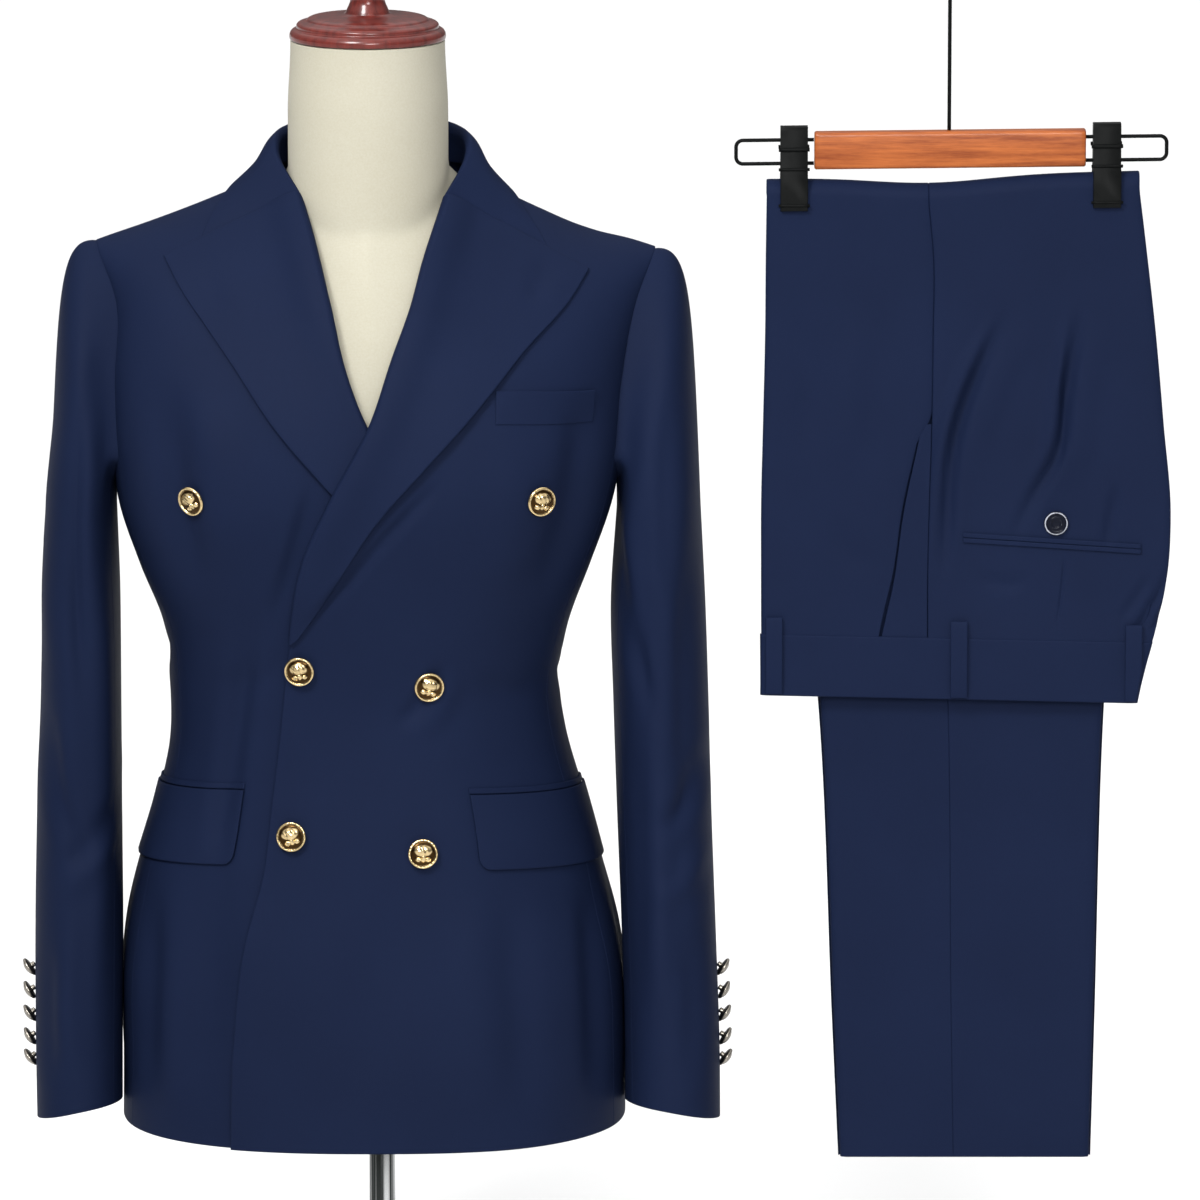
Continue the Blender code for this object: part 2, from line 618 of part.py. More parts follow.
# name, x, z, extra lift
BUTTONS = (
    ("button_top_right", -133.7, 714.5, -0.7),
    ("button_top_left", 116.8, 715.7, -0.6),
    ("button_middle_right", -54.7, 590.6, 0.3),
    ("button_middle_left", 36.9, 577.5, 0.3),
    ("button_lower_right", -61.0, 465.1, 0.3),
    ("button_lower_left", 32.4, 453.3, 0.3),
)
# Profiles of turned pieces: radius, height
BUTTON_PROFILE = ((0, 0), (2.6, 0), (2.6, 2.4), (10.4, 3.0), (11.2, 4.4), (10.0, 5.4), (9.2, 5.0),
                  (6.2, 6.9), (0, 7.8))  # fmt: skip
CUFF_BUTTON_PROFILE = ((0, 0), (2.0, 0), (2.0, 3.2), (7.0, 3.6), (7.6, 4.9), (6.4, 6.4), (3.6, 7.8),
                       (0, 8.3))  # fmt: skip
CUFF_BUTTON_Z = (352.5, 335.5, 319.0, 302.0, 287.0)
PROUD = 0.6


def round_body(side, turn, z, lift):
    """A point of a front or side panel, moved out, the left front's own lift included."""
    base = body(turn, z)
    own = front_lift(side, base[..., 0], z)
    return base + body_normal(turn, z) * (own + lift)[..., None]


def flap_grid(row, top, bottom, lift, columns, rows):
    """A grid laid on the side of the jacket, from the flap's front edge round to its end."""
    side, front_x, front_z, side_z, end = row
    u, v = np.meshgrid(shares(columns), shares(rows), indexing="ij")
    near = float(turn_at(front_x, front_z))
    far = side * math.radians(end)
    turn = near + (far - near) * u
    z = front_z + (side_z - front_z) * u - (top + (bottom - top) * v)
    return round_body(side, turn, z, lift + 0 * u)


def make_flap(row, name, finish):
    outer = flap_grid(row, 0, FLAP_DEEP, PROUD + CLOTH, *FLAP_STEPS)
    inner = flap_grid(row, 0, FLAP_DEEP, PROUD, *FLAP_STEPS)
    return wall(name, outer, inner, finish)


def make_jet(row, name, finish):
    outer = flap_grid(row, -JET_HIGH, -JET_GAP, PROUD + FLAP_JET_THICK, FLAP_STEPS[0], 1)
    inner = flap_grid(row, -JET_HIGH, -JET_GAP, PROUD, FLAP_STEPS[0], 1)
    return wall(name, outer, inner, finish)


def make_welt(finish):
    u, v = np.meshgrid(shares(6), shares(2), indexing="ij")
    x = WELT["x"][0] + (WELT["x"][1] - WELT["x"][0]) * u
    z = WELT["top"][0] + (WELT["top"][1] - WELT["top"][0]) * u - WELT["deep"] * v
    lift = over_lift(x, z) + PROUD
    return wall("breast_welt", on_front(x, z, lift + CLOTH), on_front(x, z, lift), finish)


def stand_on(made, point, normal):
    """Places a turned piece with its axis along a normal."""
    made.location = Vector(np.asarray(point) * METRE)
    made.rotation_mode = "QUATERNION"
    made.rotation_quaternion = Vector(normal).to_track_quat("Z", "Y")


def make_buttons(finish):
    for name, x, z, lift in BUTTONS:
        side = RIGHT if name == "button_top_right" else LEFT
        lift = front_lift(side, np.array(x), np.array(z)) + lift
        made = turned(name, BUTTON_PROFILE, 14, finish)
        stand_on(made, on_front(x, z, lift), body_normal(turn_at(x, z), z))


def make_cuff_buttons(finish):
    for side, word in ((RIGHT, "right"), (LEFT, "left")):
        for number, z in enumerate(CUFF_BUTTON_Z, 1):
            v = TUBE_SHARE * (z - CUFF_Z) / (SLEEVE_TOP_Z - CUFF_Z)
            point = sleeve(side, math.pi, v)
            made = turned(f"cuff_button_{word}_{number}", CUFF_BUTTON_PROFILE, 10, finish)
            stand_on(made, point + (side * PROUD, 0, 0), (side, 0.0, 0.0))


# ------------------------------------------------------------------------------------------------
# Trousers, folded over the hanger
# ------------------------------------------------------------------------------------------------
FOLD_Z = 938.0
FOLD_TILT, FOLD_SAG, SAG_X, SAG_WIDE = 0.022, 5.5, 405.0, 60.0  # the fold sags between the clips
SAG_FROM, SAG_FULL = 740.0, 920.0
FRONT_Y, REAR_Y = -12.0, 10.0  # outer faces of the folded trousers
FOLD_MID_Y, FOLD_R = -1.0, 11.0
TROUSER_HEM_Z = 195.5
WAIST_Z, WAIST_SKEW = 550.4, -0.022  # the waist's edge hangs a little lower to the back
BAND_HIGH = 45.0
UPPER_COLUMNS = ("z", "front", "back", "seam", "pocket")
UPPER = (
    (540, 282.3, 557.9, 405.8, 362.3),
    (569, 282.4, 564.7, 405.6, 366.1),
    (600, 282.1, 573.3, 405.4, 370.7),
    (644, 281.9, 582.2, 405.2, 380.2),
    (689, 281.8, 584.2, 405.9, 386.4),
    (755, 283.1, 578.3, 407.5, 400.0),
    (823, 284.4, 571.6, 408.0, 408.0),
    (881, 284.7, 564.4, 408.1, 408.1),
    (925, 285.2, 558.7, 404.2, 404.2),
)
LOWER_COLUMNS = ("z", "front", "back", "seam")
LOWER = (
    (195, 341.3, 530.0, 427.3),
    (297, 336.3, 532.1, 425.1),
    (543, 324.7, 537.1, 421.0),
    (739, 302.9, 549.4, 411.7),
    (925, 285.2, 558.7, 404.2),
)
RISE, ARC, DROP = 0.42, 0.12, 0.46  # shares of the right leg's sheet before, round and behind the fold
PATH_ROWS = (6, 6, 6)
LEVEL_X = 420.0  # the waist's height is counted from its height here
POCKET_TOP_Z, POCKET_TOP_FALL = 764.0, 10.0
EDGE_CURL, EDGE_BACK = 5.0, 3.0  # the cloth turns back this far round the creases, inside this reach
EDGE_SHARES = (0.0, 0.01, 0.04)  # columns that follow the turn
FLAT_REACH = 0.05  # share of the sheet beside the fold where the creases' turn fades


def lay_columns(table, name, z, names):
    rows = np.array(table, float)
    return smooth(z, rows[:, 0], rows[:, names.index(name)])


def upper(name, z):
    return lay_columns(UPPER, name, z, UPPER_COLUMNS)


def lower(name, z):
    return lay_columns(LOWER, name, z, LOWER_COLUMNS)


def sagged(points):
    """The trousers' points, moved down and up with the fold's sag and tilt."""
    points = np.array(points, float)
    x, z = points[..., 0], points[..., 2]
    shift = FOLD_TILT * (x - HANGER_X) - FOLD_SAG * np.exp(-(((x - SAG_X) / SAG_WIDE) ** 2))
    points[..., 2] = z + shift * ease((z - SAG_FROM) / (SAG_FULL - SAG_FROM))
    return points


def curl(x, near, far):
    """How far a sheet has turned back at x, between its two outer edges."""
    out = np.clip(1 - np.minimum(x - near, far - x) / EDGE_CURL, 0, 1)
    return EDGE_BACK * (1 - np.sqrt(1 - out**2))


def waist_edge(x):
    return WAIST_Z + WAIST_SKEW * (x - 282)


def over_path(v, bottom, depth):
    """The right leg's sheet: up the front from bottom, over the fold, down the rear; depth goes inwards."""
    radius = FOLD_R - depth
    centre = FOLD_Z - FOLD_R
    up = np.clip(v / RISE, 0, 1)
    turn = math.pi * np.clip((v - RISE) / ARC, 0, 1)
    down = np.clip((v - RISE - ARC) / DROP, 0, 1)
    z = bottom + (centre - bottom) * up + radius * np.sin(turn) - (centre - TROUSER_HEM_Z) * down
    y = FOLD_MID_Y - radius * np.cos(turn)
    return y, z, down > 0


def trouser_sheet(part, u, v, depth):
    """part is front or back; u runs from the outer crease to the side seam."""
    bottom = waist_edge(LEVEL_X) + BAND_HIGH + SEAM
    y, z, behind = over_path(v, bottom, depth)
    crease = np.where(behind, lower(part, z), upper(part, z))
    seam = np.where(behind, lower("seam", z), upper("seam", z))
    if part == "front":
        pocket = upper("pocket", z) - SEAM
        seam = np.where(~behind & (z < POCKET_TOP_Z) & (v < RISE), pocket, seam)
    gap = SEAM / 2 * (1 if part == "back" else -1)
    near = np.where(behind, lower("front", z), upper("front", z))
    far = np.where(behind, lower("back", z), upper("back", z))
    x = crease + (seam + gap - crease) * u
    low = waist_edge(x) - waist_edge(LEVEL_X)
    z = z + low * (1 - np.clip(v / RISE, 0, 1))
    middle = RISE + ARC / 2
    turned_in = curl(x, near, far) * np.where(v < middle, 1, -1)
    turned_in = turned_in * (1 - np.exp(-(((v - middle) / FLAT_REACH) ** 2)))
    return sagged(np.stack([x, y + turned_in, z], -1))


def make_trouser_sheet(part, name, columns, finish):
    front, over, rear = PATH_ROWS
    rows = np.concatenate([shares(front, (0, RISE)), shares(over, (RISE, RISE + ARC))[1:],
                           shares(rear, (RISE + ARC, 1))[1:]])  # fmt: skip
    across = np.concatenate([EDGE_SHARES, shares(columns)[1:]])
    u, v = np.meshgrid(across, rows, indexing="ij")
    outer, inner = trouser_sheet(part, u, v, 0.0), trouser_sheet(part, u, v, CLOTH)
    return wall(name, outer, inner, finish)


def flat_sheet(name, edges, heights, y, thick, columns, rows, finish, curled=(True, True)):
    """A hanging flat sheet; edges(z) gives its two sides and heights(x) its bottom and top."""
    across = shares(columns)
    if curled[0]:
        across = np.concatenate([EDGE_SHARES, across[1:]])
    if curled[1]:
        across = np.concatenate([across[:-1], 1 - np.array(EDGE_SHARES[::-1])])
    u, v = np.meshgrid(across, shares(rows), indexing="ij")
    bottom, top = heights(0.0)
    z = bottom + (top - bottom) * v
    near, far = edges(z)
    x = near + (far - near) * u
    bottom, top = heights(x)
    z = bottom + (top - bottom) * v
    turn = np.zeros_like(x)
    if curled[0]:
        turn = np.maximum(turn, curl(x, near, far + 999))
    if curled[1]:
        turn = np.maximum(turn, curl(x, near - 999, far))
    front = sagged(np.stack([x, y + turn, z], -1))
    return wall(name, front, front + (0, thick, 0), finish)


# Profile of the folded layers' side edge: how far it stands out, share of the depth
CORE_EDGE = ((1.0, 0.0), (1.0, 0.27), (0.0, 0.33), (1.0, 0.40), (1.0, 0.60), (0.0, 0.67), (1.0, 0.73),
             (1.0, 1.0))  # fmt: skip
CORE_STEP, CORE_ROWS = 2.0, 7
CORE_IN = {"upper": 9.0, "lower": 10.0}  # how far the hidden layers stay inside the creases
LEG_IN = 1.5
LEG_TOP_Z = FOLD_Z - FOLD_R - 8.0


def make_core(name, table, low, high, front_y, rear_y, finish):
    """The hidden layers of a folded stretch as one solid, stepped at its side edges like its layers."""
    inset = CORE_IN[table.__name__]
    rings = []
    for z in np.linspace(low, high, CORE_ROWS):
        near, far = table("front", z) + inset, table("back", z) - inset
        left = [(near - CORE_STEP * out, front_y + (rear_y - front_y) * deep) for out, deep in CORE_EDGE]
        right = [(far + CORE_STEP * out, front_y + (rear_y - front_y) * deep) for out, deep in CORE_EDGE]
        rings.append([(x, y, z) for x, y in left + right[::-1]])
    return loft(name, sagged(rings), finish)


BAND_PROUD, BAND_OVER = 1.2, 0.8  # the waistband is thicker and wider than the cloth below it
LOOPS = (("belt_loop_front", 291.6), ("belt_loop_side", 428.4), ("belt_loop_back", 557.6))
LOOP_WIDE, LOOP_HIGH, LOOP_THICK = 12.5, 58.0, 1.5
LOOP_FOOT, LOOP_ARCH, LOOP_ROWS = 1.5, 1.6, 6
FACING_BACK = 0.6
BACK_POCKET = {"x": (430.8, 562.3), "z": (669.5, 660.8), "high": 3.6}
JET_THICK = 1.2
POCKET_BUTTON = (499.4, 680.2)
POCKET_BUTTON_PROFILE = ((0, 0), (8.4, 0), (9.0, 0.8), (9.0, 2.2), (8.0, 2.9), (6.6, 2.2), (0, 2.0))


def facing_edges(z):
    return upper("pocket", z) + SEAM / 2, upper("seam", z) - SEAM


def facing_heights(x):
    """The pocket facing's bottom and top; its first column reaches up into the pocket's corner."""
    return waist_edge(x) + BAND_HIGH + SEAM, POCKET_TOP_Z - POCKET_TOP_FALL * (x != 0)


def band_edges(z):
    return upper("front", z) - BAND_OVER, upper("back", z) + BAND_OVER


def band_heights(x):
    return waist_edge(x), waist_edge(x) + BAND_HIGH


def left_front_edges(z):
    return lower("front", z) + LEG_IN, lower("seam", z) - SEAM / 2


def left_back_edges(z):
    return lower("seam", z) + SEAM / 2, lower("back", z) - LEG_IN


def left_heights(x):
    return TROUSER_HEM_Z + 0 * x, LEG_TOP_Z + 0 * x


def make_loop(name, x, finish):
    """A belt loop, arched over the waistband and sewn down at both ends."""
    rows = []
    for share in shares(LOOP_ROWS):
        arch = LOOP_ARCH * math.sqrt(max(math.sin(math.pi * share), 0.0))
        z = waist_edge(x) + LOOP_FOOT + LOOP_HIGH * share
        rows.append((z, FRONT_Y - BAND_PROUD - LAY - arch))
    steps = (-LOOP_WIDE / 2, 0.0, LOOP_WIDE / 2)
    grid = np.array([[(x + step, y, z) for z, y in rows] for step in steps])
    grid[..., 1] += curl(grid[..., 0], *band_edges(waist_edge(x) + LOOP_HIGH / 2))
    wall(name, grid - (0, LOOP_THICK, 0), grid, finish)


def make_back_pocket(cloth, dark):
    u, v = np.meshgrid(shares(3), shares(1), indexing="ij")
    (x0, x1), (z0, z1), high = BACK_POCKET["x"], BACK_POCKET["z"], BACK_POCKET["high"]
    x = x0 + (x1 - x0) * u
    for name, shift in (("lower", -high - SEAM / 2), ("upper", SEAM / 2)):
        z = z0 + (z1 - z0) * u + shift + high * v
        face = np.stack([x, FRONT_Y - PROUD + 0 * x, z], -1)
        wall(f"back_pocket_jet_{name}", face - (0, JET_THICK, 0), face, cloth)
    made = turned("back_pocket_button", POCKET_BUTTON_PROFILE, 16, dark)
    stand_on(made, (POCKET_BUTTON[0], FRONT_Y - SEAM, POCKET_BUTTON[1]), (0.0, -1.0, 0.0))


def make_trousers(cloth, dark):
    make_trouser_sheet("front", "trouser_right_front", 4, cloth)
    make_trouser_sheet("back", "trouser_right_back", 5, cloth)
    flat_sheet("trouser_pocket_facing", facing_edges, facing_heights, FRONT_Y + FACING_BACK,
               CLOTH - FACING_BACK, 2, 4, cloth, (False, False))  # fmt: skip
    flat_sheet("trouser_waistband", band_edges, band_heights, FRONT_Y - BAND_PROUD,
               CLOTH + BAND_PROUD, 6, 2, cloth)  # fmt: skip
    for name, x in LOOPS:
        make_loop(name, x, cloth)
    make_back_pocket(cloth, dark)

    leg_y = FOLD_MID_Y + LAY
    flat_sheet("trouser_left_front", left_front_edges, left_heights, leg_y, CLOTH, 3, 5, cloth, (True, False))
    flat_sheet("trouser_left_back", left_back_edges, left_heights, leg_y, CLOTH, 3, 5, cloth, (False, True))
    make_core("trouser_inner_layers_upper", upper, WAIST_Z + 2, LEG_TOP_Z, FRONT_Y + CLOTH + LAY,
              FOLD_MID_Y - LAY, cloth)  # fmt: skip
    make_core("trouser_inner_layers_lower", lower, TROUSER_HEM_Z + 1, LEG_TOP_Z,
              leg_y + CLOTH + LAY, REAR_Y - CLOTH - LAY, cloth)  # fmt: skip


# ------------------------------------------------------------------------------------------------
# Hanger
# ------------------------------------------------------------------------------------------------
HANGER_X, HANGER_Y = 419.0, -1.0
HANGER_TILT = 0.011
BAR = {"x": (320.2, 519.2), "z": (943.6, 971.1), "thick": 13.0, "round": 3.0}
WIRE_R = 1.4
WIRE_Z = (947.8, 965.2)
WIRE_BEND = 5.0
WIRE_ENDS = (262.8, 578.6)
CLIPS = (("hanger_clip_right", 295.3, 315.4), ("hanger_clip_left", 524.5, 545.0))
CLIP_SECTION = (  # front half: y outward from the middle plane, z
    (5.2, 975.2), (6.8, 972.2), (7.6, 946.0), (14.6, 936.5), (14.6, 914.5), (11.45, 914.5), (11.45, 935.0),
    (4.6, 943.5), (2.0, 951.0), (2.0, 972.2),
)  # fmt: skip
STEM_MID_Z, STEM_TOP_Z = 1030.0, 1090.0
HOOK_R, HOOK_STEP, HOOK_STEPS = 22.0, 17.0, 14


def tilted(points):
    """Points of the hanger, which hangs a little lower on the wearer's right."""
    points = np.array(points, float)
    points[..., 2] += HANGER_TILT * (points[..., 0] - HANGER_X)
    return points


def make_bar(wood):
    half, soft = BAR["thick"] / 2, BAR["round"]
    low, high = BAR["z"]
    section = []
    for sy, sz, start in ((-1, -1, 180), (1, -1, 270), (1, 1, 0), (-1, 1, 90)):
        cy, cz = HANGER_Y + sy * (half - soft), (high if sz > 0 else low) - sz * soft
        for a in np.radians([start, start + 45, start + 90]):
            section.append((cy + soft * math.cos(a), cz + soft * math.sin(a)))
    loft("hanger_bar", tilted([[(x, y, z) for y, z in section] for x in BAR["x"]]), wood)


def make_wire(name, start, end, black):
    """The wire loop at one end of the bar, which its clip slides on."""
    way = 1 if end > start else -1
    low, high = WIRE_Z
    corner_x = end - way * WIRE_BEND
    path = [(start, HANGER_Y, high)]
    for corner_z, first in ((high - WIRE_BEND, 90), (low + WIRE_BEND, 0)):
        for a in np.radians(first - 30.0 * np.arange(4)):
            x, z = corner_x + way * WIRE_BEND * math.cos(a), corner_z + WIRE_BEND * math.sin(a)
            path.append((x, HANGER_Y, z))
    path.append((start, HANGER_Y, low))
    tube(name, tilted(path), WIRE_R, 6, black)


def make_hook(black):
    path = [(HANGER_X, HANGER_Y, z) for z in (BAR["z"][1] + SEAM, STEM_MID_Z, STEM_TOP_Z)]
    for a in np.radians(-90 + HOOK_STEP * np.arange(1, HOOK_STEPS + 1)):
        path.append((HANGER_X + HOOK_R * math.cos(a), HANGER_Y, STEM_TOP_Z + HOOK_R + HOOK_R * math.sin(a)))
    tube("hanger_hook", path, WIRE_R, 6, black)


def make_hanger(wood, black):
    make_bar(wood)
    near, far = BAR["x"]
    make_wire("hanger_wire_right", near - SEAM, WIRE_ENDS[0], black)
    make_wire("hanger_wire_left", far + SEAM, WIRE_ENDS[1], black)
    make_hook(black)
    outline = [(-y, z) for y, z in CLIP_SECTION] + [(y, z) for y, z in CLIP_SECTION[::-1]]
    for name, *ends in CLIPS:
        loft(name, tilted([[(x, HANGER_Y + y, z) for y, z in outline] for x in ends]), black)


# ------------------------------------------------------------------------------------------------
# Dress form and stand
# ------------------------------------------------------------------------------------------------
FORM_BOTTOM_Z, NECK_TOP_Z = 286.0, 1038.0
NECK_AXIS = (-7.0, -2.0)
NECK_R, NECK_TAPER, TAPER_FROM = 58.8, 2.2, 985.0
SHOULDER_REACH = 170.0
FORM_SEAT, FORM_DROP, FORM_EASE = 0.7, 3.5, 5.0  # clearance on the shoulder line, below it, lower down
NECK_BLEND, NECK_EASE, NECK_CLEAR, END_CLEAR = 24.0, 4.5, 1.5, 3.0
NECK_CLEAR_FROM, NECK_CLEAR_FULL, END_CLEAR_FROM, END_CLEAR_FULL = 95.0, 80.0, 175.0, 190.0  # from the middle
NECK_FROM_Z = CHEST_Z + 100  # below it the form is all torso
COLLAR_EASE_Z = (890.0, 920.0)
CAP_PROFILE = (
    (0, 1038.3), (56.4, 1038.3), (57.4, 1040), (57.4, 1043), (55.6, 1046), (52.0, 1047), (52.4, 1049.5),
    (50.5, 1051.5), (45.0, 1052.3), (44.0, 1054.2), (40.0, 1055.6), (16.6, 1056.6), (15.6, 1060),
    (12.8, 1066), (12.6, 1071), (14.5, 1079), (22.5, 1091), (24.0, 1101), (19.5, 1111), (9.0, 1117),
    (0, 1118),
)  # fmt: skip
POLE_R, POLE_FOOT_Z = 9.7, 12.3
BASE_PROFILE = ((0, 0), (170, 0), (170, 6), (165, 9.5), (30, 12), (21, 15), (21, 40), (10.2, 40),
                (10.2, 12), (0, 12))  # fmt: skip


def form_columns():
    """Columns of the form's surface: the jacket's own, moved in to leave the cloth clear."""
    turns = np.linspace(-math.pi, math.pi, 361)[:-1]
    top = np.full(turns.shape, START_Z)
    for _ in range(2 * ROUNDS):
        top = ridge(body(turns, top)[..., 0])
    turn, v = np.meshgrid(turns, np.linspace(0, 1, 161), indexing="ij")
    z = climb(v, FORM_BOTTOM_Z - 10, CHEST_Z, top[:, None])
    below = top[:, None] - z
    inset = FORM_SEAT + FORM_DROP * (1 - np.exp(-below / 6)) + FORM_EASE * ease(below / 120)
    surface = body(turn, z)
    out = np.abs(surface[..., 0] - RIDGE_MID)
    inset += NECK_CLEAR * ease((NECK_CLEAR_FROM - out) / (NECK_CLEAR_FROM - NECK_CLEAR_FULL))
    inset += END_CLEAR * ease((out - END_CLEAR_FROM) / (END_CLEAR_FULL - END_CLEAR_FROM))
    return surface - body_normal(turn, z) * (CLOTH + inset)[..., None]


def form_ring(columns, z, angles):
    """Radii of the form round the neck's axis at a height."""
    found = []
    for column in columns:
        heights = np.maximum.accumulate(column[:, 2])
        if heights[-1] > z:
            found.append([np.interp(z, heights, column[:, 0]), np.interp(z, heights, column[:, 1])])
    neck = np.full(angles.shape, NECK_R - NECK_TAPER * ease((z - TAPER_FROM) / (NECK_TOP_Z - TAPER_FROM)))
    if len(found) < 8:
        return neck
    x, y = np.array(found).T
    turn = np.arctan2(y - NECK_AXIS[1], x - NECK_AXIS[0])
    radius = np.hypot(x - NECK_AXIS[0], y - NECK_AXIS[1])
    order = np.argsort(turn)
    turn, radius = turn[order], radius[order]
    turn = np.concatenate([turn - 2 * math.pi, turn, turn + 2 * math.pi])
    torso_radius = np.interp(angles, turn, np.tile(radius, 3))
    low, high = COLLAR_EASE_Z
    torso_radius -= NECK_EASE * np.abs(np.sin(angles)) * ease((z - low) / (high - low))
    if z < NECK_FROM_Z:
        return torso_radius
    return (torso_radius**NECK_BLEND + neck**NECK_BLEND) ** (1 / NECK_BLEND)


FORM_HEIGHTS = (286, 300, 360, 430, 500, 560, 620, 680, 740, 800, 840, 862, 874, 882, 888, 894, 900, 906,
                912, 920, 932, 948, 970, 985, 1010, NECK_TOP_Z)  # fmt: skip


def make_form(linen):
    angles = np.linspace(0, 2 * math.pi, 32, endpoint=False)
    angles += (RIDGE_Y - NECK_AXIS[1]) / SHOULDER_REACH * np.cos(angles)  # corners on the shoulder line
    columns = form_columns()
    rings = []
    for z in FORM_HEIGHTS:
        radius = form_ring(columns, z, angles)
        rings.append(np.stack([NECK_AXIS[0] + radius * np.cos(angles), NECK_AXIS[1] + radius * np.sin(angles),
                               np.full(angles.shape, float(z))], 1))  # fmt: skip
    return loft("form_torso", np.array(rings), linen)


def make_stand(mahogany, steel):
    cap = turned("form_cap", [(r, z) for r, z in CAP_PROFILE], 24, mahogany)
    cap.location = (NECK_AXIS[0] * METRE, NECK_AXIS[1] * METRE, 0)
    top = FORM_BOTTOM_Z - SEAM
    turned("stand_pole", ((0, POLE_FOOT_Z), (POLE_R, POLE_FOOT_Z), (POLE_R, top), (0, top)), 24, steel)
    turned("stand_base", BASE_PROFILE, 40, steel)


# ------------------------------------------------------------------------------------------------
def main():
    for old in list(bpy.data.objects):
        bpy.data.objects.remove(old, do_unlink=True)
    wool = material("navy wool", (0.018, 0.030, 0.085), 0.8)
    gold = material("gilt brass", (0.72, 0.50, 0.20), 0.3, 1.0)
    horn = material("dark button", (0.02, 0.02, 0.03), 0.3)
    wood = material("orange wood", (0.55, 0.17, 0.04), 0.35)
    black = material("black metal", (0.01, 0.01, 0.01), 0.4)
    linen = material("form linen", (0.83, 0.79, 0.66), 0.8)
    mahogany = material("mahogany", (0.16, 0.03, 0.025), 0.25)
    steel = material("chromed steel", (0.6, 0.6, 0.6), 0.15, 1.0)

    make_front(LEFT, "jacket_left_front", 12, wool)
    make_front(RIGHT, "jacket_right_front", 10, wool)
    for side, word in ((RIGHT, "right"), (LEFT, "left")):
        make_side(side, f"jacket_{word}_side", 6, wool)
        make_back(side, f"jacket_{word}_back", 7, wool)
        make_lapel(side, f"jacket_{word}_lapel", wool)
        make_sleeve(side, f"{word}_top_sleeve", (fore_seam, outer_line, hind_seam), (7, 3), wool)
        make_sleeve(side, f"{word}_under_sleeve", (hind_seam, fore_seam_again), (7,), wool)
    make_collar(wool)
    for row, word in zip(FLAPS, ("right", "left")):
        make_flap(row, f"{word}_pocket_flap", wool)
        make_jet(row, f"{word}_pocket_jet", wool)
    make_welt(wool)
    make_buttons(gold)
    make_cuff_buttons(gold)
    make_trousers(wool, horn)
    make_hanger(wood, black)
    make_form(linen)
    make_stand(mahogany, steel)


main()
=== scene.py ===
"""Looks of the two-piece suit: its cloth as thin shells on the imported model's form, with creases, seams,
buttons and finishes. Sizes are in millimetres and become metres where a mesh is made."""

import math

import bpy
import numpy as np
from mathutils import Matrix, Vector


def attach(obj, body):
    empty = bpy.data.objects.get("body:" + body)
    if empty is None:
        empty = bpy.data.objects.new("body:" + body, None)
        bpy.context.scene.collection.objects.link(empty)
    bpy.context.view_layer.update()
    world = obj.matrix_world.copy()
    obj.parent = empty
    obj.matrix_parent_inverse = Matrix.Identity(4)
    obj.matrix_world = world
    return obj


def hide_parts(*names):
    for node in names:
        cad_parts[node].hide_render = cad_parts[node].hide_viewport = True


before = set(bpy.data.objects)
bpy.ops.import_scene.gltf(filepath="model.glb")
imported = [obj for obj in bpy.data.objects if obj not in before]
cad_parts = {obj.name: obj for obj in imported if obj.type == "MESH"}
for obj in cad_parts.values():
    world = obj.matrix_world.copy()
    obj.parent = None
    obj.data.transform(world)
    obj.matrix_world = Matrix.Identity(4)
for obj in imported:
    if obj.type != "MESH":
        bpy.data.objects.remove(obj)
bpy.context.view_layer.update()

# ------------------------------------------------------------------------------------------------
# Camera, floor and light
# ------------------------------------------------------------------------------------------------
SKY, SKY_STRENGTH = ((0.0, 0.06), (1.0, 1.0), (0.35, 0.16)), 1.95  # greys from below to overhead
LIGHTS = (  # name, place, aim, size, power, spread in degrees
    ("key", (-0.95, -2.1, 2.75), (0.08, 0, 0.88), 0.9, 16, 75),
    ("trousers", (0.5, -3.4, 1.9), (0.45, 0, 0.6), 1.2, 6, 40),
)
TARGET, DISTANCE, ELEVATION = (0.163, 0.0, 0.620), 7.4, 11.0  # the camera looks here, from in front
LENS, SENSOR, CLIP_END = 300.0, 36.0, 60.0
FLOOR_HALF, FLOOR_GREY = 30.0, 0.90


def linked(name, data):
    made = bpy.data.objects.new(name, data)
    bpy.context.scene.collection.objects.link(made)
    return made


def aimed(name, data, place, way):
    """An object that looks along way."""
    made = linked(name, data)
    made.location = place
    made.rotation_mode = "QUATERNION"
    made.rotation_quaternion = way.to_track_quat("-Z", "Y")
    return made


def make_camera():
    data = bpy.data.cameras.new("camera")
    data.lens, data.sensor_width, data.clip_end = LENS, SENSOR, CLIP_END
    rise = math.radians(ELEVATION)
    back = Vector((0, -math.cos(rise), math.sin(rise)))
    bpy.context.scene.camera = aimed("camera", data, Vector(TARGET) + back * DISTANCE, -back)


def area_light(name, place, aim, size, power, spread):
    data = bpy.data.lights.new(name, "AREA")
    data.shape, data.size, data.energy, data.spread = "DISK", size, power, math.radians(spread)
    aimed(name, data, place, Vector(aim) - Vector(place))


def make_floor():
    mesh = bpy.data.meshes.new("floor")
    corners = [(x * FLOOR_HALF, y * FLOOR_HALF, 0) for x, y in ((-1, -1), (1, -1), (1, 1), (-1, 1))]
    mesh.from_pydata(corners, [], [(0, 1, 2, 3)])
    paint = bpy.data.materials.new("pale floor")
    paint.use_nodes = True
    shader = paint.node_tree.nodes["Principled BSDF"]
    shader.inputs["Base Color"].default_value = (FLOOR_GREY, FLOOR_GREY, FLOOR_GREY, 1)
    shader.inputs["Roughness"].default_value = 0.9
    shader.inputs["Specular IOR Level"].default_value = 0.1
    mesh.materials.append(paint)
    linked("floor", mesh)


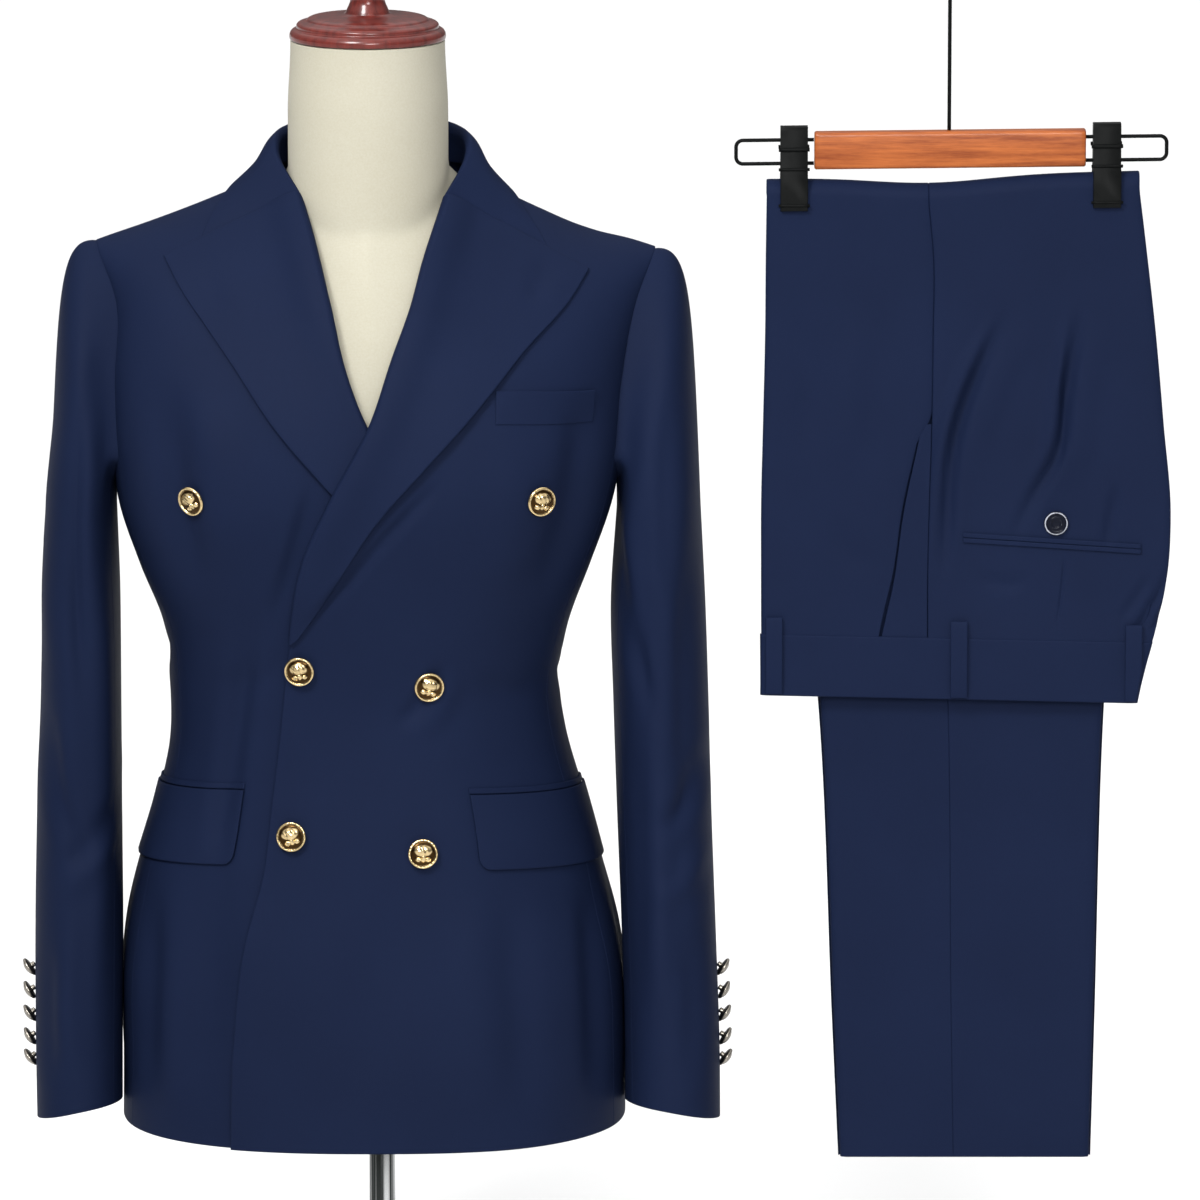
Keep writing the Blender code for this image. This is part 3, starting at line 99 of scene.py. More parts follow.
def make_studio():
    world = bpy.data.worlds.new("studio")
    world.use_nodes = True
    nodes, links = world.node_tree.nodes, world.node_tree.links
    split = nodes.new("ShaderNodeSeparateXYZ")
    links.new(nodes.new("ShaderNodeTexCoord").outputs["Generated"], split.inputs[0])
    sky = nodes.new("ShaderNodeValToRGB")  # brighter overhead, as from a soft ceiling of light
    for k, (at, grey) in enumerate(SKY):
        point = sky.color_ramp.elements[k] if k < 2 else sky.color_ramp.elements.new(at)
        point.position, point.color = at, (grey, grey, grey, 1)
    links.new(split.outputs["Z"], sky.inputs["Fac"])
    links.new(sky.outputs["Color"], nodes["Background"].inputs["Color"])
    nodes["Background"].inputs["Strength"].default_value = SKY_STRENGTH
    bpy.context.scene.world = world
    for light in LIGHTS:
        area_light(*light)
    bpy.context.scene.view_settings.view_transform = "Standard"


make_camera()
make_floor()
make_studio()

# ------------------------------------------------------------------------------------------------
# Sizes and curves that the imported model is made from, mm
# ------------------------------------------------------------------------------------------------
METRE = 0.001
TINY = 1e-9  # keeps a length from being 0 where it divides
RIGHT, LEFT = -1, 1  # the wearer's sides
SIDES = ((RIGHT, "right"), (LEFT, "left"))
CLOTH = 2.0  # wall of the cloth
SEAM = 0.3  # gap between two sewn pieces
LAY = 0.4  # gap between two layers that lie on each other
HEM_Z = 232.0
CHEST_Z = 700.0  # below it the jacket hangs straight, above it the shoulders close it
UNDERARM_Z = 712.0
UNDERARM_RISE = 23.0  # how far the armhole climbs to the side seams
NAPE_Z = 937.0
RIDGE_Y = 8.0  # the shoulder line
RIDGE_TOP, RIDGE_SLOPE, RIDGE_MID = 967.0, 0.38, -5.0
NECK_RISE, NECK_REACH = 27.0, 80.0  # the shoulder line rises to the neck inside this reach
# x, and how far the shoulder line lies lower there
DIP = ((-215, 1.2), (-200, 1.6), (-170, 2.7), (-140, 2.7), (-110, 1.8), (-75, 0.7), (-30, 0), (0, 0),
       (60, 1.5), (90, 5), (121, 8), (142, 9.5), (160, 9), (185, 5.5), (215, 3.5))
SIDE_SEAM = math.radians(66)  # turn of the front and back side seams from centre front, centre back
FRONT_ROUND = (1.9, 0.74)  # how the chest rounds up to the shoulder line
BACK_ROUND = (1.9, 0.67)
ROUNDER = 0.17  # by which the second number is less at the ends of the shoulders
ROUNDER_FROM, ROUNDER_OVER = 90.0, 90.0  # where from the middle that starts, and how far it takes
MOST_ACROSS = 0.9995  # share of the half width, beyond which the front is not measured
TURN_STEP, Z_STEP = 0.01, 2.0  # steps for the surface's normals
RIDGE_NEAR = 4.0  # the normals turn up over this distance below the shoulder line
TORSO_COLUMNS = ("z", "mid", "half", "front", "back", "square")
TORSO = (
    (225, -5.5, 187.5, 140, 128, 2.50),
    (290, -5.2, 187.0, 137, 126, 2.50),
    (344, -6.2, 185.7, 132, 122, 2.50),
    (424, -7.7, 171.7, 124, 112, 2.40),
    (470, -7.0, 159.0, 119, 104, 2.35),
    (524, -9.2, 146.2, 114, 97, 2.30),
    (560, -11.5, 144.0, 113, 94, 2.30),
    (600, -10.0, 148.5, 117, 96, 2.40),
    (651, -10.5, 167.0, 126, 102, 2.50),
    (696, -10.0, 182.0, 133, 108, 2.60),
    (735, -8.5, 188.5, 136, 112, 2.70),
    (790, -7.0, 193.0, 138, 116, 2.70),
    (850, -1.0, 199.0, 138, 118, 2.70),
    (892, -1.0, 216.0, 138, 118, 2.70),
    (990, -1.0, 216.0, 138, 118, 2.70),
)
START_Z, ROUNDS = 900.0, 12  # where a height that depends on its own x starts, and how often it is refined


def ease(t):
    t = np.clip(t, 0, 1)
    return t * t * (3 - 2 * t)


def between(z, low, high):
    """0 below low, 1 above high and smooth in between."""
    return ease((z - low) / (high - low))


def unit(vectors):
    return vectors / np.linalg.norm(vectors, axis=-1, keepdims=True)


def smooth(at, places, values):
    """A smooth curve through (places, values), read at the given places."""
    at = np.asarray(at, float)
    places, values = np.asarray(places, float), np.asarray(values, float)
    slope = np.gradient(values, places)
    i = np.clip(np.searchsorted(places, at) - 1, 0, len(places) - 2)
    step = places[i + 1] - places[i]
    t = np.clip((at - places[i]) / step, 0, 1)
    ends = values[i] * (1 + 2 * t) * (1 - t) ** 2 + values[i + 1] * t**2 * (3 - 2 * t)
    return ends + step * (slope[i] * t * (1 - t) ** 2 + slope[i + 1] * t**2 * (t - 1))


def shares(count, ends=(0.0, 1.0)):
    return np.linspace(*ends, count + 1)


def reached(steps):
    """Share of the whole way after each step, from 0 to 1."""
    return np.concatenate([[0], np.cumsum(steps)]) / steps.sum()


def curve(points, share, at=None):
    """A smooth curve through points, read at shares of its length, or of at where that is given."""
    points = np.array(points, float)
    if at is None:
        at = reached(np.linalg.norm(np.diff(points, axis=0), axis=1))
    return np.stack([smooth(share, at, column) for column in points.T], -1)


def sized(table, names, name, z):
    """A size from a table, whose rows start with their heights."""
    rows = np.array(table, float)
    return smooth(z, rows[:, 0], rows[:, names.index(name)])


def torso(name, z):
    return sized(TORSO, TORSO_COLUMNS, name, z)


def ridge(x):
    """Height of the shoulder line above x."""
    out = np.abs(x - RIDGE_MID)
    neck = np.clip(1 - (out / NECK_REACH) ** 2, 0, None) ** 2
    return RIDGE_TOP - RIDGE_SLOPE * out + NECK_RISE * neck - dip(x)


def dip(x):
    return smooth(x, *np.transpose(DIP))


def rounding(x, z, form):
    """Share of the full depth that the jacket has at x, z: 0 on the shoulder line, 1 at the chest."""
    top = ridge(x)
    t = np.clip((top - z) / (top - CHEST_Z), 0, 1)
    power, root = form
    return (1 - (1 - t) ** power) ** (root - rounder(x))


def rounder(x):
    return ROUNDER * ease((np.abs(x - RIDGE_MID) - ROUNDER_FROM) / ROUNDER_OVER)


def body(turn, z):
    """The jacket's outer surface at a turn from centre front, + to the wearer's left, and a height."""
    turn, z = np.broadcast_arrays(np.asarray(turn, float), np.asarray(z, float))
    square = torso("square", z)
    s, c = np.sin(turn), np.cos(turn)
    r = (np.abs(s) ** square + np.abs(c) ** square) ** (-1 / square)
    x = torso("mid", z) + torso("half", z) * r * s
    front = torso("front", z) * rounding(x, z, FRONT_ROUND)
    back = torso("back", z) * rounding(x, z, BACK_ROUND)
    y = RIDGE_Y - np.where(c > 0, front, back) * r * c
    return np.stack([x, y, z], -1)


def turn_at(x, z):
    """The turn at which the front has the given x."""
    square = torso("square", z)
    share = np.clip((x - torso("mid", z)) / torso("half", z), -MOST_ACROSS, MOST_ACROSS)
    return np.arctan2(share, (1 - np.abs(share) ** square) ** (1 / square))


def body_normal(turn, z):
    """Unit normal of the jacket's surface, turning straight up on the shoulder line."""
    turn, z = np.broadcast_arrays(np.asarray(turn, float), np.asarray(z, float))
    across = body(turn + TURN_STEP, z) - body(turn - TURN_STEP, z)
    n = unit(np.cross(across, body(turn, z) - body(turn, z - Z_STEP)))
    x = body(turn, z)[..., 0]
    near = np.exp(-np.clip(ridge(x) - z, 0, None) / RIDGE_NEAR)[..., None]
    up = np.stack([ridge(x - 1) - ridge(x + 1), np.zeros_like(x), np.full_like(x, 2.0)], -1)
    return unit(n * (1 - near) + near * up / np.linalg.norm(up, axis=-1, keepdims=True))


def on_front(x, z, lift):
    """A point of the jacket's front at x, z, moved out by lift."""
    turn = turn_at(x, z)
    return body(turn, z) + body_normal(turn, z) * np.asarray(lift)[..., None]


# ------------------------------------------------------------------------------------------------
# Creases: soft ridges (+) and troughs (-), each along a line of points
# ------------------------------------------------------------------------------------------------
ROUND = 190.0  # mm of the jacket's surface for each radian of turn
FACING_EASE = 0.25  # the creases of the front and the back fade inside this cosine of the turn
CREASE_POINTS = 25  # of the line that a crease is measured from
CREASE_REACH = 3.2  # widths from that line to where the crease is gone
CREASE_TAPER = 0.35  # share of the line at each end where it rises


def creases(p, q, table):
    """Sum of soft ridges over a surface with coordinates p, q (mm); rows are (points, height, width)."""
    total = np.zeros(np.broadcast(p, q).shape)
    p, q = np.broadcast_arrays(p, q)
    for points, height_mm, width in table:
        share = np.linspace(0, 1, CREASE_POINTS)
        line = np.array(points, float)
        if len(line) > 2:
            line = curve(line, share)
        else:
            line = line[0] + (line[1] - line[0]) * share[:, None]
        reach = CREASE_REACH * width
        near = (p > line[:, 0].min() - reach) & (p < line[:, 0].max() + reach)
        near &= (q > line[:, 1].min() - reach) & (q < line[:, 1].max() + reach)
        if not near.any():
            continue
        a, b = p[near], q[near]
        best, where = np.full(a.shape, np.inf), np.zeros(a.shape)
        for k in range(len(line) - 1):
            d = line[k + 1] - line[k]
            t = np.clip(((a - line[k, 0]) * d[0] + (b - line[k, 1]) * d[1]) / (d @ d), 0, 1)
            gap = np.hypot(a - line[k, 0] - t * d[0], b - line[k, 1] - t * d[1])
            closer = gap < best
            best = np.where(closer, gap, best)
            where = np.where(closer, (k + t) / (len(line) - 1), where)
        taper = ease(where / CREASE_TAPER) * ease((1 - where) / CREASE_TAPER)
        s = best / width
        total[near] += height_mm * taper * (1 - 0.5 * s**2) * np.exp(-(s**2) / 2)
    return total


# x and z in the view from the front, or from behind
FRONT_FOLDS = (
    (((-88, 650), (-97, 590), (-105, 530), (-114, 470), (-120, 410)), -4.6, 8),
    (((-56, 618), (-25, 654), (17, 701), (56, 740)), -3.4, 4.2),
    (((-43, 742), (-53, 700), (-66, 655), (-80, 612)), -3.8, 5.5),
    (((50, 600), (31, 565), (8, 545)), -2.9, 5.5),
    (((60, 590), (42, 553), (18, 532)), 1.5, 7),
    (((-62, 600), (-88, 578), (-128, 572)), -1.5, 9),
    (((70, 585), (96, 566), (126, 570)), -1.4, 8),
    (((-152, 812), (-146, 720), (-128, 628)), -5.1, 13),
    (((-122, 800), (-116, 730), (-104, 660)), 2.4, 16),
    (((150, 800), (142, 715), (120, 632)), -4.4, 12),
    (((104, 760), (100, 700), (92, 640)), 1.9, 15),
    (((-118, 452), (-126, 340), (-134, 236)), -4.1, 15),
    (((-86, 440), (-92, 330), (-98, 236)), 2.5, 16),
    (((92, 440), (102, 335), (108, 236)), -3.4, 14),
    (((62, 430), (70, 325), (76, 236)), 2.4, 17),
    (((6, 436), (-4, 330), (-14, 236)), -2.2, 18),
    (((-40, 420), (-50, 330), (-56, 240)), 1.7, 18),
    (((-166, 430), (-170, 340), (-172, 240)), -4.4, 9),
    (((152, 436), (158, 345), (161, 240)), -4.4, 9),
    (((-132, 880), (-120, 862), (-112, 838)), -1.4, 8),
    (((128, 884), (118, 866), (112, 846)), -1.4, 8),
)
BACK_FOLDS = (
    (((-104, 822), (-92, 766), (-58, 704)), -3.3, 13),
    (((98, 806), (84, 742), (62, 694)), -2.8, 12),
    (((-138, 800), (-130, 716), (-112, 640)), -5.2, 13),
    (((140, 796), (132, 712), (108, 644)), -4.8, 12),
    (((-78, 606), (-34, 584), (18, 590)), -3.9, 9),
    (((66, 566), (20, 544), (-36, 551)), -2.8, 9),
    (((-60, 580), (-20, 562), (24, 568)), 2.4, 9),
    (((112, 600), (92, 540), (96, 470)), -3.2, 12),
    (((-58, 452), (-64, 340), (-70, 238)), -4.5, 15),
    (((48, 432), (56, 330), (60, 238)), -3.9, 14),
    (((-122, 430), (-128, 335), (-130, 238)), 3.6, 14),
    (((112, 410), (118, 330), (122, 238)), 3.2, 15),
    (((-14, 420), (-10, 330), (-12, 240)), 2.4, 16),
)
# turn in mm of the surface, z: down the sides
SIDE_FOLDS = (
    (((-288, 650), (-300, 568), (-293, 480)), -2.7, 11),
    (((-246, 604), (-290, 580), (-340, 592)), -1.9, 8),
    (((-320, 450), (-312, 350), (-318, 240)), 2.2, 13),
    (((286, 640), (296, 560), (304, 476)), -2.4, 12),
    (((250, 590), (294, 560), (344, 571)), -1.9, 8),
    (((306, 440), (316, 345), (310, 240)), 2.4, 12),
)


def relief(turn, z):
    """How far the jacket's cloth stands out from its plain form."""
    turn, z = np.broadcast_arrays(np.asarray(turn, float), np.asarray(z, float))
    x = body(turn, z)[..., 0]
    ahead, behind = ease(np.cos(turn) / FACING_EASE), ease(-np.cos(turn) / FACING_EASE)
    total = creases(x, z, FRONT_FOLDS) * ahead + creases(x, z, BACK_FOLDS) * behind
    return total + creases(turn * ROUND, z, SIDE_FOLDS)


# x and z of the sleeves' creases, in front and behind
SLEEVE_FRONT_FOLDS = {
    RIGHT: (
        (((-216, 806), (-222, 664), (-214, 528)), -5.1, 7),
        (((-238, 770), (-242, 650), (-239, 556)), 3.6, 8),
        (((-206, 704), (-203, 560), (-207, 400), (-212, 290)), 3.6, 8),
        (((-247, 566), (-234, 476), (-212, 422)), -3.6, 8),
        (((-197, 486), (-214, 446), (-240, 430)), -3.0, 7),
        (((-203, 462), (-220, 424), (-238, 404)), 2.4, 8),
        (((-226, 414), (-231, 330), (-228, 258)), 3.0, 9),
        (((-243, 380), (-246, 320), (-243, 262)), -2.7, 8),
    ),
    LEFT: (
        (((190, 742), (185, 640), (189, 556)), 4.5, 6.5),
        (((177, 694), (187, 604), (203, 536)), -4.8, 6.5),
        (((214, 800), (212, 700), (216, 610)), -3.3, 9),
        (((203, 566), (207, 424), (204, 296)), 3.9, 9),
        (((232, 716), (226, 560), (231, 424)), -3.6, 9),
        (((243, 528), (224, 474), (196, 452)), -3.3, 7.5),
        (((241, 452), (220, 414), (196, 408)), 2.2, 8),
        (((228, 400), (232, 330), (229, 262)), -2.7, 9),
    ),
}
SLEEVE_REAR_FOLDS = {
    RIGHT: (
        (((-240, 700), (-236, 610), (-228, 540)), -3.3, 9),
        (((-206, 640), (-222, 560), (-244, 510)), 2.7, 9),
        (((-202, 520), (-220, 486), (-246, 470)), -3.6, 8),
        (((-204, 470), (-222, 446), (-246, 436)), -2.7, 8),
        (((-220, 400), (-224, 320), (-221, 256)), 2.4, 10),
    ),
    LEFT: (
        (((236, 690), (230, 600), (222, 530)), -3.0, 9),
        (((200, 650), (214, 566), (238, 520)), 2.4, 9),
        (((198, 536), (216, 497), (242, 478)), -3.3, 8),
        (((196, 484), (214, 455), (238, 441)), -2.8, 8),
        (((214, 396), (220, 330), (216, 260)), 2.2, 10),
    ),
}
SLEEVE_EASE = 0.3  # the sleeves' creases fade inside this sine of the angle


def sleeve_relief(side, angle, points):
    x, z = points[..., 0], points[..., 2]
    ahead, behind = ease(np.sin(angle) / SLEEVE_EASE), ease(-np.sin(angle) / SLEEVE_EASE)
    return creases(x, z, SLEEVE_FRONT_FOLDS[side]) * ahead + creases(x, z, SLEEVE_REAR_FOLDS[side]) * behind


# ------------------------------------------------------------------------------------------------
# Finishes
# ------------------------------------------------------------------------------------------------
class Finish:
    """A procedural material: its Principled shader and the nodes that feed it."""

    def __init__(self, name, colour, roughness, metallic=0.0, **uniform):
        self.material = bpy.data.materials.new(name)
        self.material.use_nodes = True
        self.nodes, self.links = self.material.node_tree.nodes, self.material.node_tree.links
        self.inputs = self.nodes["Principled BSDF"].inputs
        self.inputs["Base Color"].default_value = (*colour, 1)
        self.inputs["Roughness"].default_value = roughness
        self.inputs["Metallic"].default_value = metallic
        for socket, value in uniform.items():
            self.inputs[socket.replace("_", " ")].default_value = value

    def node(self, kind, **inputs):
        made = self.nodes.new(kind)
        for key, value in inputs.items():
            made.inputs[key].default_value = value
        return made

    def math(self, operation, *values):
        made = self.nodes.new("ShaderNodeMath")
        made.operation = operation
        for socket, value in zip(made.inputs, values):
            if isinstance(value, (int, float)):
                socket.default_value = value
            else:
                self.links.new(value, socket)
        return made.outputs[0]

    def add(self, a, b):
        return self.math("ADD", a, b)

    def times(self, a, b):
        return self.math("MULTIPLY", a, b)

    def waves(self, along, length):
        return self.math("SINE", self.times(along, 2 * math.pi / length))

    def place(self, scale=None):
        """Coordinates of the object, in metres, or stretched by a scale."""
        found = self.nodes.new("ShaderNodeTexCoord").outputs["Object"]
        if scale is None:
            return found
        stretched = self.node("ShaderNodeMapping", Scale=scale)
        self.links.new(found, stretched.inputs["Vector"])
        return stretched.outputs[0]

    def axes(self, vector):
        split = self.nodes.new("ShaderNodeSeparateXYZ")
        self.links.new(vector, split.inputs[0])
        return split.outputs

    def noise(self, vector, scale, detail=3.0, rough=0.5):
        made = self.node("ShaderNodeTexNoise", Scale=scale, Detail=detail, Roughness=rough)
        self.links.new(vector, made.inputs["Vector"])
        return made.outputs["Fac"]

    def set_colour(self, factor, *stops):
        """Colour between stops of (place, colour)."""
        made = self.nodes.new("ShaderNodeValToRGB")
        for k, (at, colour) in enumerate(stops):
            point = made.color_ramp.elements[k] if k < 2 else made.color_ramp.elements.new(at)
            point.position = at
            point.color = (*colour, 1)
        self.links.new(factor, made.inputs["Fac"])
        self.links.new(made.outputs["Color"], self.inputs["Base Color"])

    def set_roughness(self, factor, spread, least):
        self.links.new(self.add(self.times(factor, spread), least), self.inputs["Roughness"])

    def set_bump(self, height, strength, depth):
        made = self.node("ShaderNodeBump", Strength=strength, Distance=depth)
        self.links.new(height, made.inputs["Height"])
        self.links.new(made.outputs["Normal"], self.inputs["Normal"])


YARN = 0.00022  # width of one yarn, m
TWILL = 4 * YARN  # a twill line climbs one yarn in four
LINEN_ROW = 0.0011  # between two rows of the form's cover, m


def wool_material(name, dark, light):
    made = Finish(name, light, 0.62, Specular_IOR_Level=0.03)
    x, y, _ = made.axes(made.node("ShaderNodeUVMap").outputs["UV"])
    made.nodes["UV Map"].uv_map = "cloth"
    diagonal = made.add(made.times(x, 2 * math.pi / TWILL), made.times(y, 2 * math.pi / TWILL))
    weave = made.add(made.math("SINE", diagonal), made.times(made.waves(x, YARN), 0.35))
    height = made.times(made.add(weave, 1.35), 0.37)
    place = made.place()
    fibre, cloud = made.noise(place, 2600, 2), made.noise(place, 9, 3)
    tone = made.add(made.add(made.times(height, 0.45), made.times(fibre, 0.35)), made.times(cloud, 0.2))
    made.set_colour(tone, (0.25, dark), (0.75, light))
    made.set_roughness(cloud, 0.12, 0.52)
    made.set_bump(made.add(height, made.times(fibre, 0.5)), 0.35, 0.00015)
    return made.material


def linen_material(name, dark, light):
    made = Finish(name, light, 0.85, Sheen_Weight=0.05, Sheen_Roughness=0.5, Specular_IOR_Level=0.15)
    place = made.place()
    slub, cloud = made.noise(place, 700, 3), made.noise(place, 12, 3)
    made.set_colour(made.add(made.times(slub, 0.5), made.times(cloud, 0.5)), (0.3, dark), (0.7, light))
    made.set_bump(made.add(made.times(made.waves(made.axes(place)["Z"], LINEN_ROW), 0.3), slub), 0.10, 0.0002)
    return made.material


def wood_material(name, dark, light, roughness, grain, coat):
    """Varnished wood; grain is how much finer it is across each axis."""
    made = Finish(name, light, roughness, Coat_Weight=coat, Coat_Roughness=0.05, Specular_IOR_Level=0.25)
    place = made.place(grain)
    streak, pores = made.noise(place, 16, 5, 0.6), made.noise(place, 120, 3, 0.6)
    middle = tuple((a + b) / 2 for a, b in zip(dark, light))
    tone = made.add(made.times(streak, 0.75), made.times(pores, 0.25))
    made.set_colour(tone, (0.36, dark), (0.66, light), (0.5, middle))
    made.set_roughness(pores, 0.15, roughness - 0.07)
    made.set_bump(pores, 0.12, 0.0003)
    return made.material


def metal_material(name, dark, light, roughness, metallic, with_painted_shading=False, level=0.5):
    """A metal, or its paint, with its specular level; with painted shading, its colour is darkened by each
    point's painted shading.
    """
    made = Finish(name, light, roughness, metallic, Specular_IOR_Level=level)
    speck = tone = made.noise(made.place(), 220, 4, 0.6)
    if with_painted_shading:
        painted_shading = made.nodes.new("ShaderNodeAttribute")
        painted_shading.attribute_name = "painted_shading"
        tone = made.math("SUBTRACT", speck, made.times(painted_shading.outputs["Fac"], 0.6))
    made.set_colour(tone, (0.1, dark), (0.5, light))
    made.set_roughness(speck, 0.08, roughness - 0.04)
    made.set_bump(speck, 0.05, 0.0001)
    return made.material


def painted_reflection_steel_material(name, dark, light, roughness):
    """Steel tube with lengthwise streaks: dark and light painted reflections in its colour, and finer streaks
    of drawing and polish in its roughness and bump.
    """
    made = Finish(name, light, roughness, 1.0)
    place = made.place((1, 1, 0.004))
    fine = made.noise(place, 1500, 2, 0.5)
    # the dark and light streaks in the colour are painted reflections
    made.set_colour(made.noise(place, 260, 2, 0.5), (0.46, dark), (0.60, light))
    made.set_roughness(fine, 0.14, roughness - 0.07)
    made.set_bump(fine, 0.08, 0.0002)
    return made.material


WOOL = wool_material("navy wool twill", (0.0035, 0.0060, 0.0182), (0.0081, 0.0140, 0.0398))
# the gilt buttons' recessed field is darkened as painted shade
GOLD = metal_material("gilt brass", (0.045, 0.024, 0.008), (0.64, 0.49, 0.26), 0.22, 1.0, with_painted_shading=True)
CUFF_GOLD = metal_material("pale gilt brass", (0.07, 0.065, 0.058), (0.24, 0.22, 0.19), 0.30, 1.0)
# the dark button is lighter only on two rings, which are painted highlights
HORN = metal_material("dark button", (0.004, 0.005, 0.010), (0.30, 0.31, 0.35), 0.30, 0.0, True, 0.08)
ORANGE = wood_material("orange wood", (0.165, 0.033, 0.0056), (0.345, 0.094, 0.02), 0.34, (1, 14, 14), 0.0)
MAHOGANY = wood_material("mahogany", (0.052, 0.0072, 0.006), (0.128, 0.0185, 0.0132), 0.3, (10, 10, 1.2), 0.3)
BLACK = metal_material("black metal", (0.0014, 0.0017, 0.0017), (0.004, 0.0044, 0.0044), 0.42, 0, level=0.035)
CHROME = metal_material("chromed steel", (0.30, 0.31, 0.32), (0.46, 0.47, 0.49), 0.20, 1.0)
# the pole's steel, streaked with painted reflections
STEEL_PAINTED_REFLECTIONS = painted_reflection_steel_material("drawn steel tube", (0.030, 0.033, 0.032), (0.56, 0.57, 0.57), 0.24)
LINEN = linen_material("form linen", (0.322, 0.303, 0.236), (0.364, 0.346, 0.282))


# ------------------------------------------------------------------------------------------------
# Shells
# ------------------------------------------------------------------------------------------------
RIM = (0.12, 0.38, 0.8, 1.5)  # distances from a rounded edge that hold a line of points, mm
FREE, SEWN = 1.0, 0.6  # radii of a sheet's free and sewn edges
FULLY_ROUND = 0.985  # share of its radius up to which an edge is rounded
LEAST_FILL = 0.31  # share of its flat size that a sheet covers at least
# grids, as points and length in mm, each way
FRONT_GRID, SIDE_GRID, BACK_GRID = ((80, 300), (150, 700)), ((40, 150), (100, 490)), ((50, 210), (150, 720))
LAPEL_GRID, COLLAR_POINTS = ((40, 110), (110, 300)), 40
ROLL_POINTS = 12  # round the lapel's roll
TUBE_ROWS, HEAD_ROWS, SLEEVE_WIDE = (85, 460), (45, 250), 150
FLAP_GRID, JET_GRID, WELT_GRID = ((70, 180), (24, 55)), ((70, 180), (6, 4.4)), ((40, 74), (14, 23))
UP_ROWS, OVER_ROWS, DOWN_ROWS, LEG_COLUMNS = (70, 350), 24, (90, 730), 46  # the right leg, round its fold
FACING_POINTS, BAND_POINTS, LEG_POINTS = (16, 50), (90, 22), (36, 110)  # across and up
LOOP_POINTS, POCKET_JET_GRID = (10, 30), ((50, 131), (6, 3.6))


def samples(count, length, ends=(True, True)):
    """Shares from 0 to 1, closer together near the rounded ends of a line of the given length, mm."""
    near = np.array(RIM) / length
    inner = np.linspace(near[-1] if ends[0] else 0, 1 - near[-1] if ends[1] else 1, count)
    first = [0, *near[:-1]] if ends[0] else []
    last = [*(1 - near[:-1][::-1]), 1] if ends[1] else []
    return np.concatenate([first, inner, last])


def grid(across, up):
    """u and v of a grid, each from how many points it has and how long it is, mm."""
    return np.meshgrid(samples(*across), samples(*up), indexing="ij")


def arcs(points, axis):
    """Length along a grid's lines from their start."""
    step = np.linalg.norm(np.diff(points, axis=axis), axis=-1)
    zero = np.zeros_like(np.take(step, [0], axis))
    return np.concatenate([zero, np.cumsum(step, axis)], axis)


def mesh_object(name, points, faces, finish, uv=None):
    """A smooth mesh from points and uv in mm, with its faces turned outwards."""
    corners = points[faces]
    n = np.cross(corners[:, 1] - corners[:, 0], corners[:, 2] - corners[:, 0])
    if np.sum(np.einsum("ij,ij->i", n, corners[:, 0])) < 0:
        faces = faces[:, ::-1]
    mesh = bpy.data.meshes.new(name)
    mesh.vertices.add(len(points))
    mesh.vertices.foreach_set("co", (points * METRE).astype(np.float32).ravel())
    mesh.loops.add(faces.size)
    mesh.loops.foreach_set("vertex_index", faces.ravel().astype(np.int32))
    mesh.polygons.add(len(faces))
    mesh.polygons.foreach_set("loop_start", np.arange(0, faces.size, faces.shape[1], dtype=np.int32))
    mesh.update(calc_edges=True)
    if uv is not None:
        layer = mesh.uv_layers.new(name="cloth")
        layer.data.foreach_set("uv", (uv[faces.ravel()] * METRE).astype(np.float32).ravel())
    mesh.shade_smooth()
    mesh.materials.append(finish)
    return linked(name, mesh)


def grid_faces(rows, columns, start=0):
    at = np.arange(rows * columns).reshape(rows, columns) + start
    return np.stack([at[:-1, :-1], at[1:, :-1], at[1:, 1:], at[:-1, 1:]], -1).reshape(-1, 4)


def ring_faces(count, size):
    """Faces between each two of a stack of closed rings."""
    at = np.arange(count * size).reshape(count, size)
    after = np.roll(at, -1, 1)
    return np.stack([at[:-1], after[:-1], after[1:], at[1:]], -1).reshape(-1, 4)


def set_painted_shading(made, painted_shading):
    """How much each point is darkened by painted shading."""
    made.data.attributes.new("painted_shading", "FLOAT", "POINT").data.foreach_set("value", painted_shading)


def shell(name, outer, inner, soft):
    """Wool between two grids, its edges rounded by the radii in soft (first and last row, then first and
    last column)."""
    rows, columns = outer.shape[:2]
    through = outer - inner
    thick = np.linalg.norm(through, axis=-1, keepdims=True)
    n = through / np.maximum(thick, TINY)
    down, across = arcs(outer, 0), arcs(outer, 1)
    gaps = (down, down[-1:] - down, across, across[:, -1:] - across)
    sink = np.zeros(outer.shape[:2])
    for gap, radius in zip(gaps, soft):
        if radius:
            t = np.clip(1 - gap / radius, 0, FULLY_ROUND)
            sink = np.maximum(sink, np.minimum(radius, thick[..., 0] / 2) * (1 - np.sqrt(1 - t**2)))
    outer, inner = outer - n * sink[..., None], inner + n * sink[..., None]
    points = np.concatenate([outer.reshape(-1, 3), inner.reshape(-1, 3)])
    count = rows * columns
    faces = [grid_faces(rows, columns), grid_faces(rows, columns, count)[:, ::-1]]
    at = np.arange(count).reshape(rows, columns)
    border = np.concatenate([at[:, 0], at[-1, 1:], at[-2::-1, -1], at[0, -2:0:-1]])
    after = np.roll(border, -1)
    faces.append(np.stack([after, border, border + count, after + count], -1))
    uv = np.stack([down, across], -1).reshape(-1, 2)
    return mesh_object(name, points, np.concatenate(faces), WOOL, np.concatenate([uv, uv]))


def dress(made, node):
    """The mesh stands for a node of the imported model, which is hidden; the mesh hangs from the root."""
    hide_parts(node)
    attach(made, "root")


